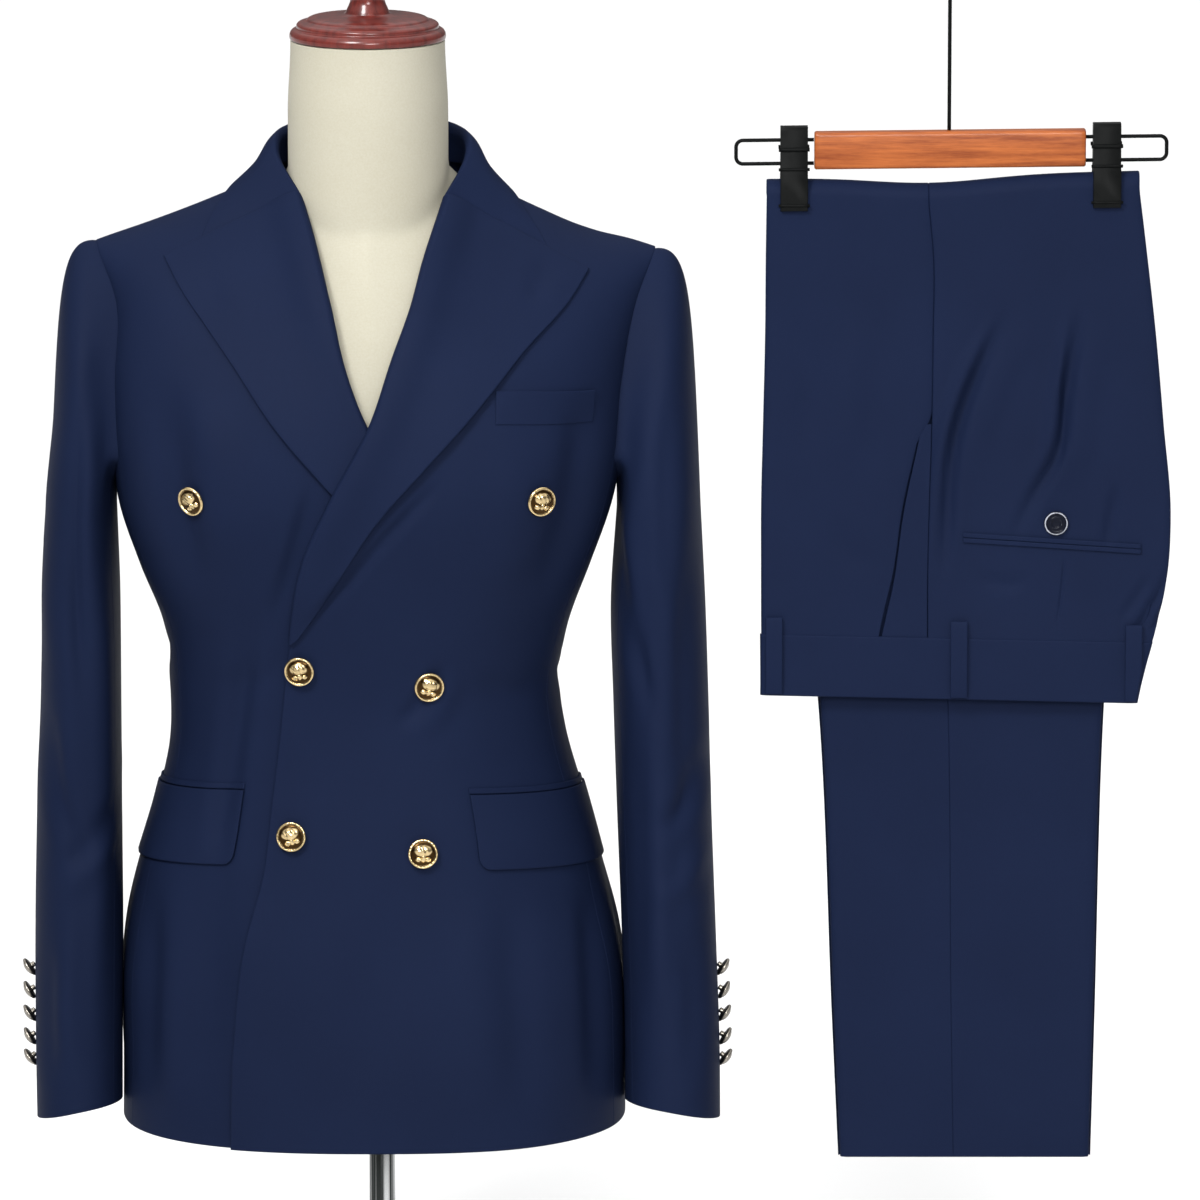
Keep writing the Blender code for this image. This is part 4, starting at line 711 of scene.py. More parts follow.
def cloth(name, outer, inner, node, soft):
    """A sheet of cloth. Its flat size, the longest line of its grid each way, and its area are worked out but
    not used.
    """
    made = shell(name, outer, inner, soft)
    dress(made, node)
    down, across = arcs(outer, 0)[-1].max(), arcs(outer, 1)[:, -1].max()
    cells = np.cross(outer[1:, :-1] - outer[:-1, :-1], outer[:-1, 1:] - outer[:-1, :-1])
    area = np.linalg.norm(cells, axis=-1).sum()
    width, length = math.ceil(down) * METRE, math.ceil(across) * METRE
    area = min(max(area * METRE**2, LEAST_FILL * width * length), width * length)


def panel(name, turn, z, node, soft, lift=0.0, back=0.0):
    """A panel of the jacket, moved out by lift and its creases, and back along y."""
    n = body_normal(turn, z)
    outer = body(turn, z) + n * (lift + relief(turn, z))[..., None]
    outer[..., 1] += back
    cloth(name, outer, outer - n * CLOTH, node, soft)


# ------------------------------------------------------------------------------------------------
# Jacket: fronts, sides and backs
# ------------------------------------------------------------------------------------------------
# z and x of the fronts' edges, from the hem to the neck
OVER_EDGE = ((225, -106.9), (314, -103.6), (376.7, -96.9), (441, -81.3), (483.6, -76.1), (528.5, -70.5),
             (605, -62.6), (677, -52), (720.6, -32), (773.2, -4), (819.6, 12), (854.7, 25), (883.5, 33.5),
             (935, 51.5))
UNDER_EDGE = ((225, 95), (444, 71), (606, 57.5), (694, 39.2), (725, 23.6), (774.5, -6.5), (813.4, -21.5),
              (856.9, -33), (909.8, -48.2), (935, -57.5))
EDGES = {LEFT: OVER_EDGE, RIGHT: UNDER_EDGE}
OVER_LIFT = CLOTH * 2 + 2.8  # the left front lies over the right front and its lapel
OVER_FADE = 90.0  # the lift is gone at the side seam
OVER_TOP, OVER_TOP_FADE = 900.0, 110.0  # and at the shoulder, from this far below
GORGE_Z, GORGE_SLOPE = 936.6, 0.58  # the front's top edge beside the neck
NECK_OUT = 75.0  # half of the neck opening on the shoulder line
CLOSING = 1.6  # how strongly a panel's rows close up at its top
TOP_GAP = 6  # power by which the seam on the shoulder opens towards the top
ROLL_TUCK, ROLL_FROM, ROLL_FULL = 4.5, 612.0, 660.0  # the front's edge stays inside the lapel's roll


def side_x(side, z):
    return body(side * SIDE_SEAM, z)[..., 0]


def over_lift(x, z):
    """How far the left front stands out from the jacket's surface."""
    across = ease((side_x(LEFT, z) - x) / OVER_FADE)
    return OVER_LIFT * across * ease((OVER_TOP - z) / OVER_TOP_FADE)


def front_lift(side, x, z):
    return over_lift(x, z) if side == LEFT else np.zeros_like(x)


def climb(v, low, top):
    """Heights of a panel's rows: even up to the chest, then closing up towards the top."""
    upper = np.clip(2 * v - 1, 0, 1)
    above = CHEST_Z + (top - CHEST_Z) * (1 - (1 - upper) ** CLOSING)
    return np.where(v < 0.5, low + (CHEST_Z - low) * 2 * v, above)


def settled(refine, shape, rounds=ROUNDS):
    """Heights that depend on their own x, refined from a start."""
    z = np.full(shape, START_Z)
    for _ in range(rounds):
        z = refine(z)
    return z


def front_top(x):
    out = np.abs(x - RIDGE_MID)
    gorge = GORGE_Z - GORGE_SLOPE * (NECK_REACH - out)
    return np.where(out < NECK_REACH, np.minimum(ridge(x), gorge), ridge(x))


def back_top(x):
    out = np.abs(x - RIDGE_MID)
    neck = NAPE_Z + (ridge(RIDGE_MID + NECK_OUT) - NAPE_Z) * (out / NECK_OUT) ** 2
    return np.where(out < NECK_OUT, np.minimum(neck, ridge(x)), ridge(x))


def front_edge(side, z):
    return smooth(z, *np.transpose(EDGES[side])) + side * ROLL_TUCK * between(z, ROLL_FROM, ROLL_FULL)


def front_turn(side, u, z):
    """Turn of the front at a share u from its edge to the side seam."""
    near = turn_at(front_edge(side, z), z)
    return near + (side * SIDE_SEAM - near) * u


def make_front(side, word):
    u, v = grid(*FRONT_GRID)
    top = settled(lambda z: front_top(body(front_turn(side, u, z), z)[..., 0]), u.shape)
    z = climb(v, HEM_Z, top)
    turn = front_turn(side, u, z)
    panel(f"{word}_front_cloth", turn, z, f"jacket_{word}_front", (FREE, SEWN, FREE, SEWN),
          front_lift(side, body(turn, z)[..., 0], z), -SEAM / 2 * v**TOP_GAP)


def make_back(side, word):
    u, v = grid(*BACK_GRID)
    near, far = side * (math.pi - SIDE_SEAM), side * math.pi
    turn = near + (far - near) * u
    z = climb(v, HEM_Z, settled(lambda z: back_top(body(turn, z)[..., 0]), u.shape))
    panel(f"{word}_back_cloth", turn, z, f"jacket_{word}_back", (SEWN, SEWN, FREE, SEWN),
          back=SEAM / 2 * v**TOP_GAP)


def underarm(turn):
    """Height of the side's top edge, which is the bottom of the armhole."""
    out = (np.abs(turn) - math.pi / 2) / (math.pi / 2 - SIDE_SEAM)
    return UNDERARM_Z + UNDERARM_RISE * out**2


def make_side(side, word):
    near, far = side * SIDE_SEAM, side * (math.pi - SIDE_SEAM)
    u, v = grid(*SIDE_GRID)
    turn = near + (far - near) * u
    z = HEM_Z + (underarm(turn) - HEM_Z) * v
    panel(f"{word}_side_cloth", turn, z, f"jacket_{word}_side", (SEWN, SEWN, FREE, SEWN))


# ------------------------------------------------------------------------------------------------
# Jacket: lapels and collar
# ------------------------------------------------------------------------------------------------
# x and z of the lapels' roll lines and outer edges, from their feet to the neck
OVER_ROLL = ((-60.3, 611), (-51.7, 677), (-31.6, 720.6), (-3.7, 773.2), (12.1, 819.6), (25.1, 854.7),
             (33.4, 883.5), (49, 927))
OVER_LAPEL = ((-56.2, 614.5), (-32.7, 650.1), (-2, 699.3), (32, 737.9), (65.6, 773.4), (107.3, 820.4),
              (141.6, 854.7), (154.4, 872.8))
UNDER_ROLL = ((56.2, 607), (39.2, 694), (23.6, 725), (-6.5, 774.5), (-21.5, 813.4), (-33, 856.9),
              (-48.2, 909.8), (-55.5, 929))
UNDER_LAPEL = ((51.9, 610), (14.6, 671.9), (-39.2, 731.4), (-73.7, 770.5), (-102.9, 810.6),
               (-125.1, 839), (-140.2, 858.1), (-155.7, 882.4))
LAPELS = {LEFT: (OVER_ROLL, OVER_LAPEL), RIGHT: (UNDER_ROLL, UNDER_LAPEL)}
ROLL_PUFF, ROLL_AT, ROLL_WIDE = 3.0, 10.0, 14.0  # soft roll beside the roll line
UNDER_PUFF = (800.0, 860.0)  # the right lapel's roll is flat below the first height, under the left front
LAPEL_LAY = 1.1  # gap between the lapel and the front
NOTCH_SHARE = 0.75  # the collar meets the lapel along this share of the gorge and peak line
ROLL_BEHIND = CLOTH * 2 + 0.5  # how far behind the front the lapel's cloth turns back
ROLL_IN = 4.0  # the lapel starts this far out from the roll line
ROLL_STARTS, PUFF_STARTS = 0.2, 0.15  # shares of the roll line where its start and its roll are full
ROLL_AHEAD, ROLL_FLAT = 0.2, 0.9  # where the roll looks for its direction, and how round it is
LEAST_ROLL = 0.4  # radius inside the roll
EDGE_OFF = (612.0, 860.0, 4.6)  # between these heights the lapel's edge stands off by up to the last number
EDGE_OFF_FROM, EDGE_OFF_OVER = 12.0, 50.0  # from the roll line


def lapel_lines(side, v):
    """x, z of the roll line and of the outer edge at shares of their lengths, and the width between them."""
    roll, edge = (curve(line, v) for line in LAPELS[side])
    return roll, edge, np.hypot(edge[..., 0] - roll[..., 0], edge[..., 1] - roll[..., 1])


def parts(points):
    return np.moveaxis(points, -1, 0)


def lapel_place(side, out, v):
    """x and z of a lapel's point at a share out of its width, and how far it is from the roll line."""
    roll, edge, wide = lapel_lines(side, v)
    share = (ROLL_IN * ease(v / ROLL_STARTS) * (1 - out) + out * wide) / wide
    return *parts(roll + (edge - roll) * share[..., None]), share * wide


def roll_puff(out):
    return ROLL_PUFF * np.exp(-(((out - ROLL_AT) / ROLL_WIDE) ** 2))


def lapel_lift(side, x, z, out, v):
    puff = roll_puff(out) * ease(v / PUFF_STARTS)
    if side == RIGHT:
        puff = puff * between(z, *UNDER_PUFF)
    low, high, most = EDGE_OFF
    share = np.clip((z - low) / (high - low), 0, 1)
    off = most * np.sin(math.pi * share) ** 2 * ease((out - EDGE_OFF_FROM) / EDGE_OFF_OVER)
    return front_lift(side, x, z) + LAPEL_LAY + puff + off + relief(turn_at(x, z), z)


def lapel_grids(side, u, v):
    """Outer and inner face; u below 0 goes half round the roll, 0 to 1 runs out to the edge."""
    x, z, out = lapel_place(side, np.maximum(u, 0), v)
    lift = lapel_lift(side, x, z, out, v)
    outer, inner = on_front(x, z, lift + CLOTH), on_front(x, z, lift)
    x0, z0, out0 = lapel_place(side, np.zeros_like(u), v)
    top_lift = lapel_lift(side, x0, z0, out0, v) + CLOTH
    top = on_front(x0, z0, top_lift)
    bottom = on_front(x0, z0, front_lift(side, x0, z0) + relief(turn_at(x0, z0), z0) - ROLL_BEHIND)
    middle = (top + bottom) / 2
    radius = np.linalg.norm(top - bottom, axis=-1, keepdims=True) / 2
    x1, z1, _ = lapel_place(side, np.full_like(u, ROLL_AHEAD), v)
    ahead = top - on_front(x1, z1, top_lift)
    ahead /= np.maximum(np.linalg.norm(ahead, axis=-1, keepdims=True), TINY)
    a = math.pi * np.clip(-u, 0, 1)[..., None]
    bend = (top - middle) * np.cos(a) + ahead * radius * ROLL_FLAT * np.sin(a)
    wrap = (u < 0)[..., None]
    outer = np.where(wrap, middle + bend, outer)
    inner = np.where(wrap, middle + bend * np.maximum(radius - CLOTH, LEAST_ROLL) / radius, inner)
    return outer, inner


def make_lapel(side, word):
    across, up = LAPEL_GRID
    roll = np.linspace(-1, 0, ROLL_POINTS + 1)[:-1]
    u = np.concatenate([roll, samples(*across, (False, True))])
    u, v = np.meshgrid(u, samples(*up), indexing="ij")
    outer, inner = lapel_grids(side, u, v)
    cloth(f"{word}_lapel_cloth", outer, inner, f"jacket_{word}_lapel", (0.8, FREE, 0.8, SEWN))


COLLAR_MID = -4.0
COLLAR = (  # share from centre back to the lapel; out, y and z of foot and fold; out and y of the edge
    (0.00, 0, 66, 939.5, 0, 70, 974, 0, 79.5),
    (0.25, 34, 59, 940, 33, 63, 973, 44, 66),
    (0.50, 60, 33, 943, 62, 36, 971, 82, 40),
    (0.68, 69.5, 8, 945, 71.5, 8, 967, 100, 8),
    (0.84, 66.5, -9, 941, 69, -10, 953, 117, -17),
)
FOLD_RADIUS, FOLD_TIGHTER, FOLD_HIGH = 3.4, 0.35, 0.8  # of the collar's fold, and its shares at the lapels
COLLAR_LAY = 3.0  # the leaf's edge lies this far above the jacket
BULGE_OUT, BULGE_UP = 0.6, 0.8  # the way in which the leaf is full
LEAF_BULGE, LEAF_HOLLOW = 2.5, 4.2  # the collar's leaf is full at the back and hollow at the sides
FOLD_END, FOOT_END = (0.5, 0.0, 2.5), (1.0, 1.5, -3.5)  # steps inwards, back and up at the front end
BLEND_FROM = 0.8  # from this share on, the leaf's middle runs to the lapel
COLLAR_STEPS = 60  # from centre back to the lapel
LEAF_POINT = -8  # of a section's points, one near the leaf's edge
MOST_BESIDE = 0.999  # share of the half width, beyond which a height above the plan is not measured
GORGE_LIFT, UNDER_LAP = -4.0, 0.9  # the collar's ends reach this far under the lapels


def height(x, y):
    """Height of the jacket's surface above a point of the plan, near the shoulders."""
    z = np.full(np.shape(x), START_Z)
    power, root = FRONT_ROUND if np.all(y < RIDGE_Y) else BACK_ROUND
    for _ in range(ROUNDS):
        share = np.clip(np.abs(x - torso("mid", z)) / torso("half", z), 0, MOST_BESIDE)
        full = np.where(y < RIDGE_Y, torso("front", z), torso("back", z))
        full = full * (1 - share ** torso("square", z)) ** (1 / torso("square", z))
        depth = np.clip(np.abs(y - RIDGE_Y) / full, 0, 1)
        t = 1 - (1 - depth ** (1 / (root - rounder(x)))) ** (1 / power)
        z = ridge(x) - t * (ridge(x) - CHEST_Z)
    return z


def lapel_point(side, u, v, lift):
    """A point just under the plain lapel, which lies on the collar's sewn end."""
    roll, edge, wide = lapel_lines(side, v)
    x, z = parts(roll + (edge - roll) * u[..., None])
    return on_front(x, z, front_lift(side, x, z) + LAPEL_LAY + roll_puff(wide * u) + lift - UNDER_LAP)


def collar_rows(side):
    """Cross-sections of half the collar, centre back to front end: points from stand to outer edge."""
    rows = np.array(COLLAR, float)
    at = np.append(rows[:, 0], 1.0)
    gorge = lapel_point(side, shares(2, (0, NOTCH_SHARE)), np.ones(3), CLOTH)
    gorge[:, 2] += SEAM + GORGE_LIFT
    fold_end, half_end, edge_end = gorge
    fold_end = fold_end + np.multiply(FOLD_END, (-side, 1, 1))
    foot_end = fold_end + np.multiply(FOOT_END, (-side, 1, 1))
    ends = {"foot": foot_end, "fold": fold_end, "edge": edge_end}
    curves = {}
    share = shares(COLLAR_STEPS)
    for name, first in (("foot", 1), ("fold", 4), ("edge", 7)):
        x = COLLAR_MID + side * rows[:, first]
        y = rows[:, first + 1]
        if name == "edge":
            z = np.array([float(height(a, b)) for a, b in zip(x, y)]) + COLLAR_LAY + CLOTH
        else:
            z = rows[:, first + 2] - dip(x)
        curves[name] = curve(np.vstack([np.stack([x, y, z], 1), ends[name]]), share, at)
    foot, fold, edge = curves["foot"], curves["fold"], curves["edge"]
    out = edge - fold
    out[:, 2] = 0
    out /= np.linalg.norm(out, axis=1, keepdims=True)
    up = np.array([0.0, 0.0, 1.0])
    tight = FOLD_RADIUS * (1 - FOLD_TIGHTER * share[:, None] ** 3)
    inner = fold - out * tight - up * tight
    outer = fold + out * tight - up * tight * FOLD_HIGH
    bulge = (out * BULGE_OUT + up * BULGE_UP) * (LEAF_BULGE - LEAF_HOLLOW * ease(share[:, None] * 2))
    middle = (outer + edge) / 2 + bulge
    blend = ease((share[:, None] - BLEND_FROM) / (1 - BLEND_FROM))
    middle = middle * (1 - blend) + (half_end + up * SEAM) * blend
    return np.stack([foot, (foot + inner) / 2, inner, fold, outer, middle, edge], 1)


def make_collar():
    right, left = collar_rows(RIGHT), collar_rows(LEFT)
    coarse = np.concatenate([right[::-1], left[1:]])
    # a smooth section through the seven points of each row
    step = np.linalg.norm(np.diff(coarse, axis=1), axis=-1).mean(0)
    fine = samples(COLLAR_POINTS, step.sum())
    outer = np.stack([curve(row, fine, reached(step)) for row in coarse])
    n = unit(np.cross(np.gradient(outer, axis=0), np.gradient(outer, axis=1)))
    leaf = n[len(coarse) // 2, LEAF_POINT]  # at centre back the leaf faces back and up
    n = n if leaf[2] + leaf[1] > 0 else -n
    soft = (0.8, 0.8, 0.8, FREE)
    cloth("collar_cloth", outer, outer - n * CLOTH, "jacket_collar", soft)


# ------------------------------------------------------------------------------------------------
# Jacket: sleeves
# ------------------------------------------------------------------------------------------------
SLEEVE_COLUMNS = ("z", ("inner", RIGHT), ("outer", RIGHT), ("inner", LEFT), ("outer", LEFT), "y", "deep")
SLEEVE = (
    (225, -192.4, -255.5, 181.5, 252.5, -30, 54),
    (290, -192.2, -256.5, 181.2, 252.0, -22, 56),
    (360, -191.6, -256.8, 179.5, 249.6, -12, 59),
    (472, -192.4, -254.8, 175.2, 245.5, 4, 65),
    (545, -192.5, -252.0, 172.8, 243.5, 9, 69),
    (620, -192.5, -249.0, 171.0, 241.0, 10, 72),
    (690, -194.4, -243.0, 175.4, 237.5, 8, 74),
)
SLEEVE_TOP_Z = 690.0  # above it the sleeve's head turns in to the armhole
CUFF_Z, CUFF_TILT, CUFF_RISE = 241.0, 6.5, 8.0  # the cuff's edge is higher on the inside and in front
HEAD_OUT, HEAD_UP, HEAD_LEAN, HEAD_ROPE = 0.8, 0.82, 0.18, 4.0  # how full the sleeve's head is
RING_SQUARE = 2.2  # how square the sleeve's cross-section is
TUBE_SHARE = 0.55  # the share of v below the sleeve's head
# turns round the sleeve, from its inside through its front
FORE_SEAM = math.radians(35)
HIND_CUFF, HIND_TOP = math.radians(196), math.radians(245)
HIND_REACH = 0.8  # the hind seam winds from one to the other up to this v
ARMHOLE_GAP = -1.2  # the sleeve's edge is tucked into the armhole
SHOULDER_Z = 890.0  # here the armhole meets the shoulder line
LOW_POINTS, SIDE_POINTS, LAPPED = 12, 60, 3  # points of the armhole: below, up each side, past a full turn
SLEEVE_STEP = 4e-3  # for the sleeve's normals


def armhole(side, angle):
    """The armhole's edge: 0 under the arm, a quarter at the front, a half on the shoulder."""
    low = np.linspace(math.pi / 2, SIDE_SEAM, LOW_POINTS)
    shoulder = float(body(side * SIDE_SEAM, SHOULDER_Z)[0])
    rise = np.linspace(UNDERARM_Z + UNDERARM_RISE, float(ridge(shoulder)), SIDE_POINTS)[1:]
    front, back = (
        np.vstack([body(side * turns, underarm(turns)), body(side * turns[-1], rise)])
        for turns in (low, math.pi - low)
    )
    ring = np.vstack([front, back[::-1][1:-1]])
    top, bottom = ring[:, 2].max(), ring[:, 2].min()
    ahead = RIDGE_Y - ring[:, 1]
    wide = np.where(ahead > 0, ahead.max(), -ahead.min())
    turns = np.arctan2(ahead / wide, ((top + bottom) / 2 - ring[:, 2]) / ((top - bottom) / 2)) % (2 * math.pi)
    order = np.argsort(turns)
    turns, ring = turns[order], ring[order]
    turns = np.concatenate([turns[-LAPPED:] - 2 * math.pi, turns, turns[:LAPPED] + 2 * math.pi])
    ring = np.vstack([ring[-LAPPED:], ring, ring[:LAPPED]])
    at = np.asarray(angle) % (2 * math.pi)
    return np.stack([np.interp(at, turns, column) for column in ring.T], -1)


def sleeve_ring(side, angle, z):
    """A cross-section of the sleeve below its head."""
    inner, outer, y, deep = (
        sized(SLEEVE, SLEEVE_COLUMNS, name, z) for name in (("inner", side), ("outer", side), "y", "deep")
    )
    s, c = np.sin(angle), np.cos(angle)
    r = (np.abs(s) ** RING_SQUARE + np.abs(c) ** RING_SQUARE) ** (-1 / RING_SQUARE)
    x = (inner + outer) / 2 + (inner - outer) / 2 * r * c
    return np.stack([x, y - deep * r * s, z + 0 * x], -1)


def sleeve(side, angle, v):
    """The sleeve's outer surface, v from the cuff to the armhole."""
    angle, v = np.broadcast_arrays(np.asarray(angle, float), np.asarray(v, float))
    cuff = CUFF_Z + CUFF_TILT * np.cos(angle) + CUFF_RISE * np.maximum(np.sin(angle), 0)
    low = cuff + (SLEEVE_TOP_Z - cuff) * np.clip(v / TUBE_SHARE, 0, 1)
    straight = sleeve_ring(side, angle, low)
    t = np.clip((v - TUBE_SHARE) / (1 - TUBE_SHARE), 0, 1)[..., None]
    start = sleeve_ring(side, angle, np.full(np.shape(v), SLEEVE_TOP_Z))
    end = armhole(side, angle)
    end[..., 0] += side * ARMHOLE_GAP
    up, out = np.zeros_like(end), np.zeros_like(end)
    up[..., 2] = (end[..., 2] - start[..., 2]) * HEAD_UP
    up[..., 0] = (end[..., 0] - start[..., 0]) * HEAD_LEAN
    out[..., 0] = (start[..., 0] - end[..., 0]) * HEAD_OUT
    out[..., 2] = HEAD_ROPE * (1 - np.cos(angle)) / 2
    a, b = start + up, end + out
    head = start * (1 - t) ** 3 + 3 * a * t * (1 - t) ** 2 + 3 * b * t**2 * (1 - t) + end * t**3
    return np.where(v[..., None] <= TUBE_SHARE, straight, head)


def hind_seam(v):
    return HIND_CUFF + (HIND_TOP - HIND_CUFF) * ease(v / HIND_REACH)


def sleeve_dressed(side, angle, v):
    """The sleeve's outer surface with its creases, and its normals."""
    across = sleeve(side, angle + SLEEVE_STEP, v) - sleeve(side, angle - SLEEVE_STEP, v)
    above = sleeve(side, angle, np.minimum(v + SLEEVE_STEP, 1))
    below = sleeve(side, angle, np.maximum(v - SLEEVE_STEP, 0))
    n = unit(np.cross(across, above - below) * side)
    plain = sleeve(side, angle, v)
    return plain + n * sleeve_relief(side, angle, plain)[..., None], n


def make_sleeve(side, node, stops, columns):
    """A panel of a sleeve. Its stops are angles, or functions of v; columns are counted from stop to stop."""
    low = samples(*TUBE_ROWS, (True, False)) * TUBE_SHARE
    v = np.concatenate([low, TUBE_SHARE + samples(*HEAD_ROWS, (False, True))[1:] * (1 - TUBE_SHARE)])
    at = []
    for k, count in enumerate(columns):
        share = samples(count, SLEEVE_WIDE, (k == 0, k == len(columns) - 1))
        at.append(k + (share if k == 0 else share[1:]))
    u, v = np.meshgrid(np.concatenate(at), v, indexing="ij")
    angles = np.stack([stop(v) if callable(stop) else np.full_like(v, stop) for stop in stops])
    part = np.minimum(u.astype(int), len(columns) - 1)
    near, far = (np.take_along_axis(angles, part[None] + k, 0)[0] for k in (0, 1))
    outer, n = sleeve_dressed(side, near + (far - near) * (u - part), v)
    cloth(f"{node}_cloth", outer, outer - n * CLOTH, node, (SEWN, SEWN, FREE, SEWN))


# ------------------------------------------------------------------------------------------------
# Jacket: pockets and buttons
# ------------------------------------------------------------------------------------------------
FLAP_DEEP, FLAP_CORNER = 55.0, 8.0
FLAPS = {RIGHT: (-97.4, 496.0, 481.0), LEFT: (65.5, 494.0, 479.5)}  # x and z at the front, z at the side
FLAP_END = math.radians(100)  # turn of the flaps' ends at the side
FLAP_FULL = 0.5  # how far a flap's middle stands out from its edges
JET_HIGH, JET_GAP, JET_PROUD, JET_SOFT = 5.0, 0.6, 0.9, 0.7
WELT_X, WELT_TOP, WELT_DEEP = (85.4, 158.0), (793.7, 790.4), 23.0
WELT_OUT, WELT_SINK = 1.2, 1.3  # the welt stands out at its top and sinks in to its bottom
PROUD = 0.6  # of what lies on the jacket


def front_at(side, turn, z, lift):
    """A point of the dressed front, moved out by lift."""
    base = body(turn, z)
    own = front_lift(side, base[..., 0], z)
    return base + body_normal(turn, z) * (own + lift + relief(turn, z))[..., None]


def flap_place(side, top, bottom, u, v, corner=0.0):
    """Turn and z between two depths below the pocket's line; the corner at the front is rounded."""
    front_x, front_z, side_z = FLAPS[side]
    near, far = float(turn_at(front_x, front_z)), side * FLAP_END
    out = np.abs(far - near) * ROUND * u
    lost = np.where(out < corner, corner - np.sqrt(np.maximum(corner**2 - (corner - out) ** 2, 0)), 0)
    return near + (far - near) * u, front_z + (side_z - front_z) * u - (top + (bottom - lost - top) * v)


def make_flap(side, word):
    u, v = grid(*FLAP_GRID)
    turn, z = flap_place(side, 0, FLAP_DEEP, u, v, FLAP_CORNER)
    stand = PROUD + FLAP_FULL * np.sin(math.pi * np.clip(v, 0, 1)) * np.sin(math.pi * u)
    outer, inner = front_at(side, turn, z, stand + CLOTH), front_at(side, turn, z, stand)
    cloth(f"{word}_flap_cloth", outer, inner, f"{word}_pocket_flap", (FREE, FREE, 0.5, FREE))


def make_jet(side, word):
    u, v = grid(*JET_GRID)
    turn, z = flap_place(side, -JET_HIGH, -JET_GAP, u, v)
    outer, inner = front_at(side, turn, z, PROUD + JET_PROUD), front_at(side, turn, z, 0)
    dress(shell(f"{word}_jet_cloth", outer, inner, (JET_SOFT,) * 4), f"{word}_pocket_jet")


def make_welt():
    u, v = grid(*WELT_GRID)
    x = WELT_X[0] + (WELT_X[1] - WELT_X[0]) * u
    z = WELT_TOP[0] + (WELT_TOP[1] - WELT_TOP[0]) * u - WELT_DEEP * v
    lift = over_lift(x, z) + PROUD * (WELT_OUT - v) + relief(turn_at(x, z), z) - WELT_SINK * v
    cloth("breast_welt_cloth", on_front(x, z, lift + CLOTH), on_front(x, z, lift), "breast_welt",
          (0.9, 0.9, FREE, SEWN))


AXIS_R = 0.02  # the radius at which a turned solid closes on its axis


def lathe(profile, segments):
    """Points and faces of a turned solid about Z from (radius, height) points on a closed profile."""
    radius, z = (column[:, None] for column in np.array(profile, float).T)
    angle = np.linspace(0, 2 * math.pi, segments, endpoint=False)
    points = np.stack([radius * np.cos(angle), radius * np.sin(angle), z + 0 * angle], -1)
    return points.reshape(-1, 3), ring_faces(*points.shape[:2])


def rounded_profile(profile, steps=4, share=0.3):
    """A profile with its inner corners rounded over a share of the lines beside them."""
    points = np.array(profile, float)
    made = [points[0]]
    for a, b, c in zip(points[:-2], points[1:-1], points[2:]):
        p, q = b + (a - b) * share, b + (c - b) * share
        for t in np.linspace(0, 1, steps):
            made.append(p * (1 - t) ** 2 + 2 * b * t * (1 - t) + q * t**2)
    made.append(points[-1])
    return np.array(made)


def turned_on(points, place, normal):
    """Points about Z, moved so that Z is the normal and the origin is at place."""
    turn = np.array(Vector(normal).to_track_quat("Z", "Y").to_matrix())
    return points @ turn.T + np.asarray(place, float)


BUTTONS = (  # name, side, x, z, lift, and radians that it is turned on its thread
    ("button_top_right", RIGHT, -133.7, 714.5, -0.7, 0.5),
    ("button_top_left", LEFT, 116.8, 715.7, -0.6, -0.15),
    ("button_middle_right", LEFT, -54.7, 590.6, 0.3, 0.1),
    ("button_middle_left", LEFT, 36.9, 577.5, 0.3, -0.3),
    ("button_lower_right", LEFT, -61.0, 465.1, 0.3, 0.25),
    ("button_lower_left", LEFT, 32.4, 453.3, 0.3, -0.05),
)
BUTTON_HANG = {"button_top_right": (-0.20, 0.0, -0.16)}  # it hangs over on its thread
BUTTON_PROFILE = (
    (AXIS_R, 0.0), (2.6, 0), (2.6, 2.2), (9.8, 2.6), (11.0, 3.2), (11.2, 4.3), (10.6, 5.3), (9.6, 5.4),
    (9.0, 4.5), (8.4, 4.6), (7.0, 5.0), (5.0, 5.4), (3.0, 5.7), (1.5, 5.8), (AXIS_R, 5.8),
)
BUTTON_ROW = 0.3  # between the rows of points on a button
FACE_FROM, FACE_OVER = 3.3, 0.8  # heights at which the relief of the face sets in
ROPE_TURNS, ROPE_HIGH, ROPE_R, ROPE_WIDE = 24, 0.12, 10.0, 0.6
SPRIG = (  # lobes of the leaf and its three berries: middle, half sizes, height
    (0.0, 2.5, 6.0, 4.0, 2.1),
    (-3.3, -4.3, 2.2, 1.9, 1.5),
    (0.3, -3.4, 1.7, 2.6, 1.7),
    (3.8, -4.0, 2.1, 1.9, 1.5),
)
VEIN_HIGH, VEIN_ACROSS, VEIN_ALONG, VEIN_FROM = 0.22, 1.7, 0.9, 1.2
PAINTED_SHADE_MOST, PAINTED_SHADE_FALL, PAINTED_SHADE_R, PAINTED_SHADE_WIDE = 1.35, 1.6, 9.3, 0.7  # painted shade of the recessed field round the relief, inside the rim
CUFF_BUTTON_Z = (352.5, 335.5, 319.0, 302.0, 287.0)
CUFF_DROOP = (37.0, 32.0, 38.0, 34.0, 39.0)  # degrees that each button hangs over on its thread
CUFF_PROFILE = (
    (AXIS_R, 0), (2.0, 0), (2.0, 3.0), (6.3, 3.3), (7.3, 3.9), (7.6, 4.9), (7.0, 5.8), (6.3, 5.9),
    (5.0, 7.0), (3.0, 7.9), (AXIS_R, 8.3),
)


